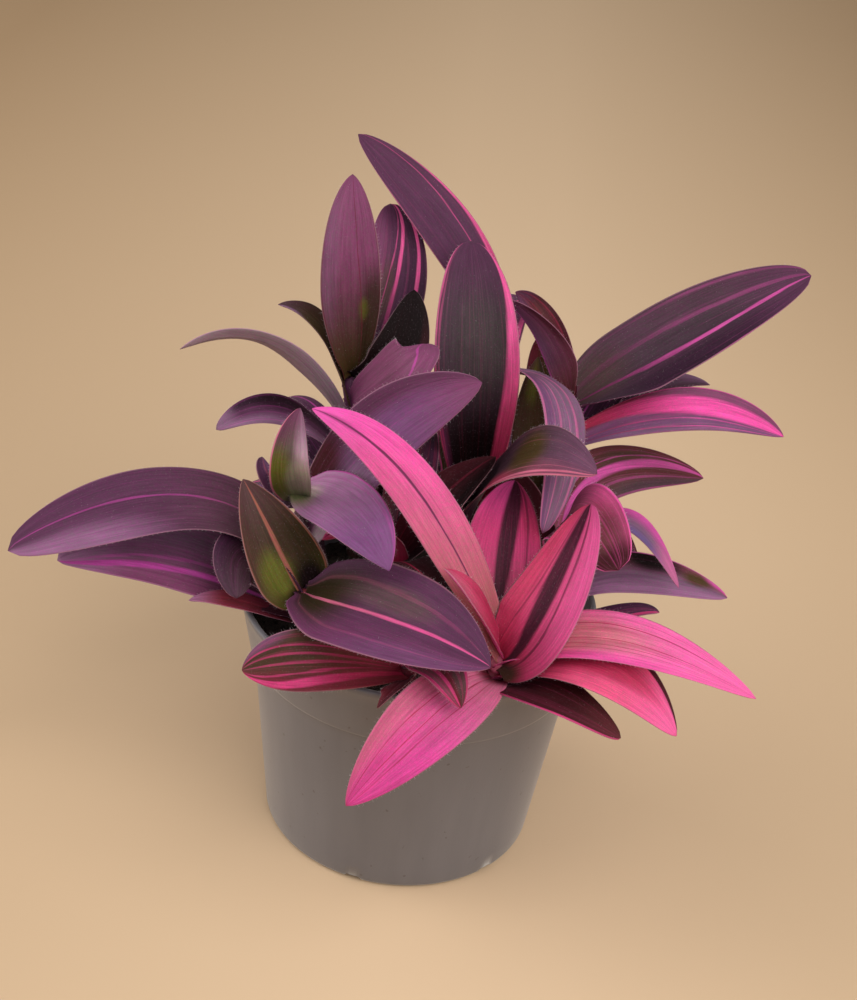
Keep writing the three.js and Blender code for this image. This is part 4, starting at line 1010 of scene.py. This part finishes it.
potFinish = {
    "dark": (0.127, 0.122, 0.136, 1), "light": (0.156, 0.15, 0.165, 1),
    "cloudScale": 14.0, "streakScale": (130.0, 130.0, 5.0), "grainScale": 1400.0, "speckScale": 420.0,
    "cloudShare": 0.6, "streakShare": 0.4, "toneLevels": (0.35, 0.65),
    "speckColour": (0.05, 0.035, 0.025, 1), "speckAmount": 0.5, "speckLevels": (0.74, 0.78),
    "roughness": (0.3, 0.7, 0.42, 0.55),      # levels of the cloud, and its ends
    "sheen": 0.5, "sheenRoughness": 0.35, "sheenTint": (1.0, 0.95, 0.9, 1), "relief": 0.0001,
}


def potMaterial():
    f = potFinish
    material, tree, shader = newMaterial("potPlastic")
    where = addNode(tree, "ShaderNodeTexCoord").outputs["Object"]
    cloud = noise(tree, where, f["cloudScale"], 3.0)
    streak = noise(tree, scaled(tree, where, f["streakScale"]), 1.0, 3.0)
    tone = sums(tree, "ADD", product(tree, cloud, f["cloudShare"]), product(tree, streak, f["streakShare"]))
    colour = mixColour(tree, toRange(tree, tone, *f["toneLevels"]), f["dark"], f["light"])
    speck = noise(tree, where, f["speckScale"], 1.0)
    speck = toRange(tree, speck, *f["speckLevels"], 0.0, f["speckAmount"])
    tree.links.new(mixColour(tree, speck, colour, f["speckColour"]), shader.inputs["Base Color"])
    tree.links.new(toRange(tree, cloud, *f["roughness"]), shader.inputs["Roughness"])
    shader.inputs["Sheen Weight"].default_value = f["sheen"]
    shader.inputs["Sheen Roughness"].default_value = f["sheenRoughness"]
    shader.inputs["Sheen Tint"].default_value = f["sheenTint"]
    addBump(tree, shader, noise(tree, where, f["grainScale"], 2.0), 0.25, f["relief"])
    return material


soilForm = {
    "top": 77, "radius": 55.4, "bottom": 4, "dome": 0.8, "swell": 0.6,
    "side": [(43.8, 4), (52.4, 68.9), (54.4, 70.0), (55.4, 76.5)],   # radius and height up the plug's side
    "rings": 60, "sides": 200,
    "clumps": 900, "clumpSize": (0.3, 1.3), "clumpMargin": 2,
    "fibres": 260, "fibreLength": (1.5, 5), "fibreRadius": (0.06, 0.18), "fibreMargin": 5,
}


def soilHeight(x, y):
    # slow swells that fade at the wall, finer bumps, and a low dome
    s = soilForm
    inward = 1 - np.hypot(x, y) / s["radius"]
    swell = np.sin(x * 0.31 + 1) * np.cos(y * 0.27) + 0.6 * np.sin(x * 0.13 - y * 0.41)
    fine = 0.35 * np.sin(x * 1.3 + 2 * np.sin(y * 0.7)) * np.sin(y * 1.1 + 1.5 * np.sin(x * 0.9))
    fine = fine + 0.2 * np.sin(2.9 * x + 1.3 * y) * np.sin(2.3 * y - x)
    return s["top"] + s["dome"] * inward + s["swell"] * swell * np.minimum(1, 4 * inward) + fine


def scatter(count, margin):
    # places on the soil, even over its area
    r = np.sqrt(rng.uniform(0, 1, count)) * (soilForm["radius"] - margin)
    a = rng.uniform(0, 2 * math.pi, count)
    return r * np.cos(a), r * np.sin(a)


def clumps(first):
    # crumbs of peat: an octahedron with each corner pushed in or out
    s, n = soilForm, soilForm["clumps"]
    x, y = scatter(n, s["clumpMargin"])
    size = rng.uniform(*s["clumpSize"], n) ** 1.5
    corners = np.array([(1, 0, 0), (-1, 0, 0), (0, 1, 0), (0, -1, 0), (0, 0, 1), (0, 0, -1)], float)
    points = corners[None] * size[:, None, None] * rng.uniform(0.6, 1.3, (n, 6, 1))
    points = points + rng.normal(0, 0.12, (n, 6, 3))
    points = points + np.stack([x, y, soilHeight(x, y) + 0.2 * size], -1)[:, None]
    faces = np.array([(0, 2, 4), (2, 1, 4), (1, 3, 4), (3, 0, 4), (2, 0, 5), (1, 2, 5), (3, 1, 5), (0, 3, 5)])
    return points.reshape(-1, 3), (first + 6 * np.arange(n)[:, None, None] + faces[None]).reshape(-1, 3)


def fibres(first):
    # short three-sided straws lying on the peat
    s, n = soilForm, soilForm["fibres"]
    x, y = scatter(n, s["fibreMargin"])
    turn, length = rng.uniform(0, math.pi, n), rng.uniform(*s["fibreLength"], n)
    aim = np.stack([np.cos(turn), np.sin(turn), rng.normal(0, 0.15, n)], -1)
    middle = np.stack([x, y, soilHeight(x, y) + 0.35], -1)
    sideways = np.stack([-np.sin(turn), np.cos(turn), 0 * turn], -1)
    upward = np.cross(aim, sideways)
    ring = np.radians([90, 210, 330])
    spokes = sideways[:, None] * np.cos(ring)[None, :, None] + upward[:, None] * np.sin(ring)[None, :, None]
    spokes = rng.uniform(*s["fibreRadius"], n)[:, None, None] * spokes
    ends = [middle[:, None] + sign * aim[:, None] * length[:, None, None] / 2 + spokes for sign in (-1, 1)]
    points = np.concatenate(ends, 1)
    faces = np.array([(0, 1, 4), (0, 4, 3), (1, 2, 5), (1, 5, 4), (2, 0, 3), (2, 3, 5), (0, 2, 1), (3, 4, 5)])
    return points.reshape(-1, 3), (first + 6 * np.arange(n)[:, None, None] + faces[None]).reshape(-1, 3)


def buildSoil(material):
    # rings up the plug's side and inward over its top, with crumbs and fibres lying on it
    s = soilForm
    angle = 2 * math.pi * np.arange(s["sides"]) / s["sides"]
    side = np.array(s["side"])
    inward = s["radius"] * (1 - np.linspace(0.004, 0.99, s["rings"]))
    radius = np.concatenate([side[:, 0], inward])
    x, y = radius[:, None] * np.cos(angle), radius[:, None] * np.sin(angle)
    z = np.concatenate([side[:, 1][:, None] + 0 * angle, soilHeight(x[len(side):], y[len(side):])])
    quads, triangles = ringFaces(len(radius) - 1, s["sides"], 0)
    middles = [[0, 0, s["bottom"]], [0, 0, soilHeight(0.0, 0.0)]]
    points = np.concatenate([np.stack([x, y, z], -1).reshape(-1, 3), middles])
    clumpPoints, clumpFaces = clumps(len(points))
    fibrePoints, fibreFaces = fibres(len(points) + len(clumpPoints))
    piece = buildMesh("peat", np.concatenate([points, clumpPoints, fibrePoints]), quads,
                      np.concatenate([triangles, clumpFaces, fibreFaces]), [material])
    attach(piece, "root")
    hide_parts("soil")


soilFinish = {
    "dark": (0.006, 0.004, 0.003, 1), "light": (0.035, 0.022, 0.014, 1), "patch": (0.05, 0.03, 0.018, 1),
    "crumbScale": 700.0, "crumbLevels": (0.35, 0.7), "patchScale": 60.0, "patchLevels": (0.5, 0.8),
    "patchAmount": 0.4, "roughness": 0.95, "relief": 0.0008,
}


def soilMaterial():
    f = soilFinish
    material, tree, shader = newMaterial("peatSoil")
    where = addNode(tree, "ShaderNodeTexCoord").outputs["Object"]
    crumb = noise(tree, where, f["crumbScale"], 4.0, 0.7)
    patch = noise(tree, where, f["patchScale"], 3.0)
    colour = mixColour(tree, toRange(tree, crumb, *f["crumbLevels"]), f["dark"], f["light"])
    patch = toRange(tree, patch, *f["patchLevels"], 0.0, f["patchAmount"])
    colour = mixColour(tree, patch, colour, f["patch"])
    tree.links.new(colour, shader.inputs["Base Color"])
    shader.inputs["Roughness"].default_value = f["roughness"]
    addBump(tree, shader, crumb, 0.9, f["relief"])
    return material


studio = {
    # the floor's own pale colour, and the darker colour of the painted shade round the painted pool of light
    "floorColour": (0.72, 0.525, 0.34, 1), "paintedFalloffColour": (0.42, 0.275, 0.15, 1), "floorSize": 8.0,
    "floorRoughness": 0.9, "cloud": 0.06,
    "paintedPoolCentre": 0.03, "paintedPool": (0.03, 0.43),    # the paler band's middle, and where it starts to darken: a painted pool of light with painted shade beyond
    "paintedFarFalloff": (0.2, 1.0, 0.0, 0.22),            # painted shade far off: from and to, behind the pot, and how much darker
    "worldColour": (1.0, 0.96, 0.92, 1), "worldStrength": 0.36, "aimHeight": 0.11,
    "lights": {                                  # place, width, watts, colour
        "key": ((0.55, -0.8, 1.1), 1.5, 16, (1.0, 0.97, 0.93)),
        "fill": ((-1.1, -0.2, 0.9), 1.9, 10.5, (1.0, 0.97, 0.94)),
        "sideLeft": ((-1.25, 0.25, 0.25), 0.8, 5.5, (1.0, 0.98, 0.96)),
        "sideRight": ((1.25, 0.25, 0.25), 0.8, 2.6, (1.0, 0.98, 0.96)),
    },
}


def buildFloor():
    # one flat square with a painted pool of light: paler in a broad band through the middle, with painted
    # shade to the sides and far off
    mesh = bpy.data.meshes.new("floor")
    h = studio["floorSize"] / 2
    mesh.from_pydata([(-h, -h, 0), (h, -h, 0), (h, h, 0), (-h, h, 0)], [], [(0, 1, 2, 3)])
    floor = bpy.data.objects.new("floor", mesh)
    bpy.context.scene.collection.objects.link(floor)
    material, tree, shader = newMaterial("floorPaper")
    where = addNode(tree, "ShaderNodeTexCoord").outputs["Object"]
    x, y = splitVector(tree, where)[:2]
    aside = sums(tree, "ABSOLUTE", sums(tree, "SUBTRACT", x, studio["paintedPoolCentre"]))
    cloud = product(tree, noise(tree, where, 2.0, 2.0), studio["cloud"])
    far = sums(tree, "ADD", toRange(tree, y, *studio["paintedFarFalloff"]), cloud)
    # painted shade: more of the darker colour away from the band and behind the pot, a little blotchy
    amount = sums(tree, "ADD", toRange(tree, aside, *studio["paintedPool"]), far, clamp=True)
    colour = mixColour(tree, amount, studio["floorColour"], studio["paintedFalloffColour"])
    tree.links.new(colour, shader.inputs["Base Color"])
    shader.inputs["Roughness"].default_value = studio["floorRoughness"]
    mesh.materials.append(material)


def addLight(name, place, width, watts, colour):
    light = bpy.data.lights.new(name, "AREA")
    light.shape = "DISK"
    light.size, light.energy, light.color = width, watts, colour
    lamp = bpy.data.objects.new(name, light)
    bpy.context.scene.collection.objects.link(lamp)
    aim = Vector((0, 0, studio["aimHeight"])) - Vector(place)
    lamp.matrix_world = Matrix.Translation(place) @ aim.to_track_quat("-Z", "Y").to_matrix().to_4x4()


def lightStudio():
    for name, settings in studio["lights"].items():
        addLight(name, *settings)
    world = bpy.data.worlds.new("studio")
    world.use_nodes = True
    background = world.node_tree.nodes["Background"]
    background.inputs["Color"].default_value = studio["worldColour"]
    background.inputs["Strength"].default_value = studio["worldStrength"]
    bpy.context.scene.world = world
    bpy.context.scene.view_settings.view_transform = "Standard"


# degrees, and metres from the origin: away from it, then to the right and up in the picture
view = {
    "elevation": 31.0, "roll": 6.4, "distance": 0.7, "right": 0.01156, "up": 0.1075,
    "lens": 70, "sensor": 36,      # mm
}


def addCamera():
    # looks down from the front, turned a little so that the pot leans in the picture
    e, r = math.radians(view["elevation"]), math.radians(view["roll"])
    back = Vector((0, -math.cos(e), math.sin(e)))
    level = back.cross(Vector((1, 0, 0)))
    right = Vector((1, 0, 0)) * math.cos(r) + level * math.sin(r)
    up = level * math.cos(r) - Vector((1, 0, 0)) * math.sin(r)
    place = back * view["distance"] + right * view["right"] + up * view["up"]
    lens = bpy.data.cameras.new("camera")
    lens.lens = view["lens"]
    lens.sensor_fit = "VERTICAL"
    lens.sensor_width = lens.sensor_height = view["sensor"]
    camera = bpy.data.objects.new("camera", lens)
    camera.matrix_world = Matrix.Translation(place) @ Matrix((right, up, back)).transposed().to_4x4()
    bpy.context.scene.collection.objects.link(camera)
    bpy.context.scene.camera = camera


buildPot(potMaterial())
print("pot built")
buildSoil(soilMaterial())
print("soil built")
leafSkin, leafHair = leafMaterial(), hairMaterial()
for order, (name, shoot) in enumerate(shoots.items(), 1):
    buildShoot(name, shoot, order, [leafSkin, leafHair])
    print("built", name)
buildFloor()
lightStudio()
addCamera()
print("studio ready")
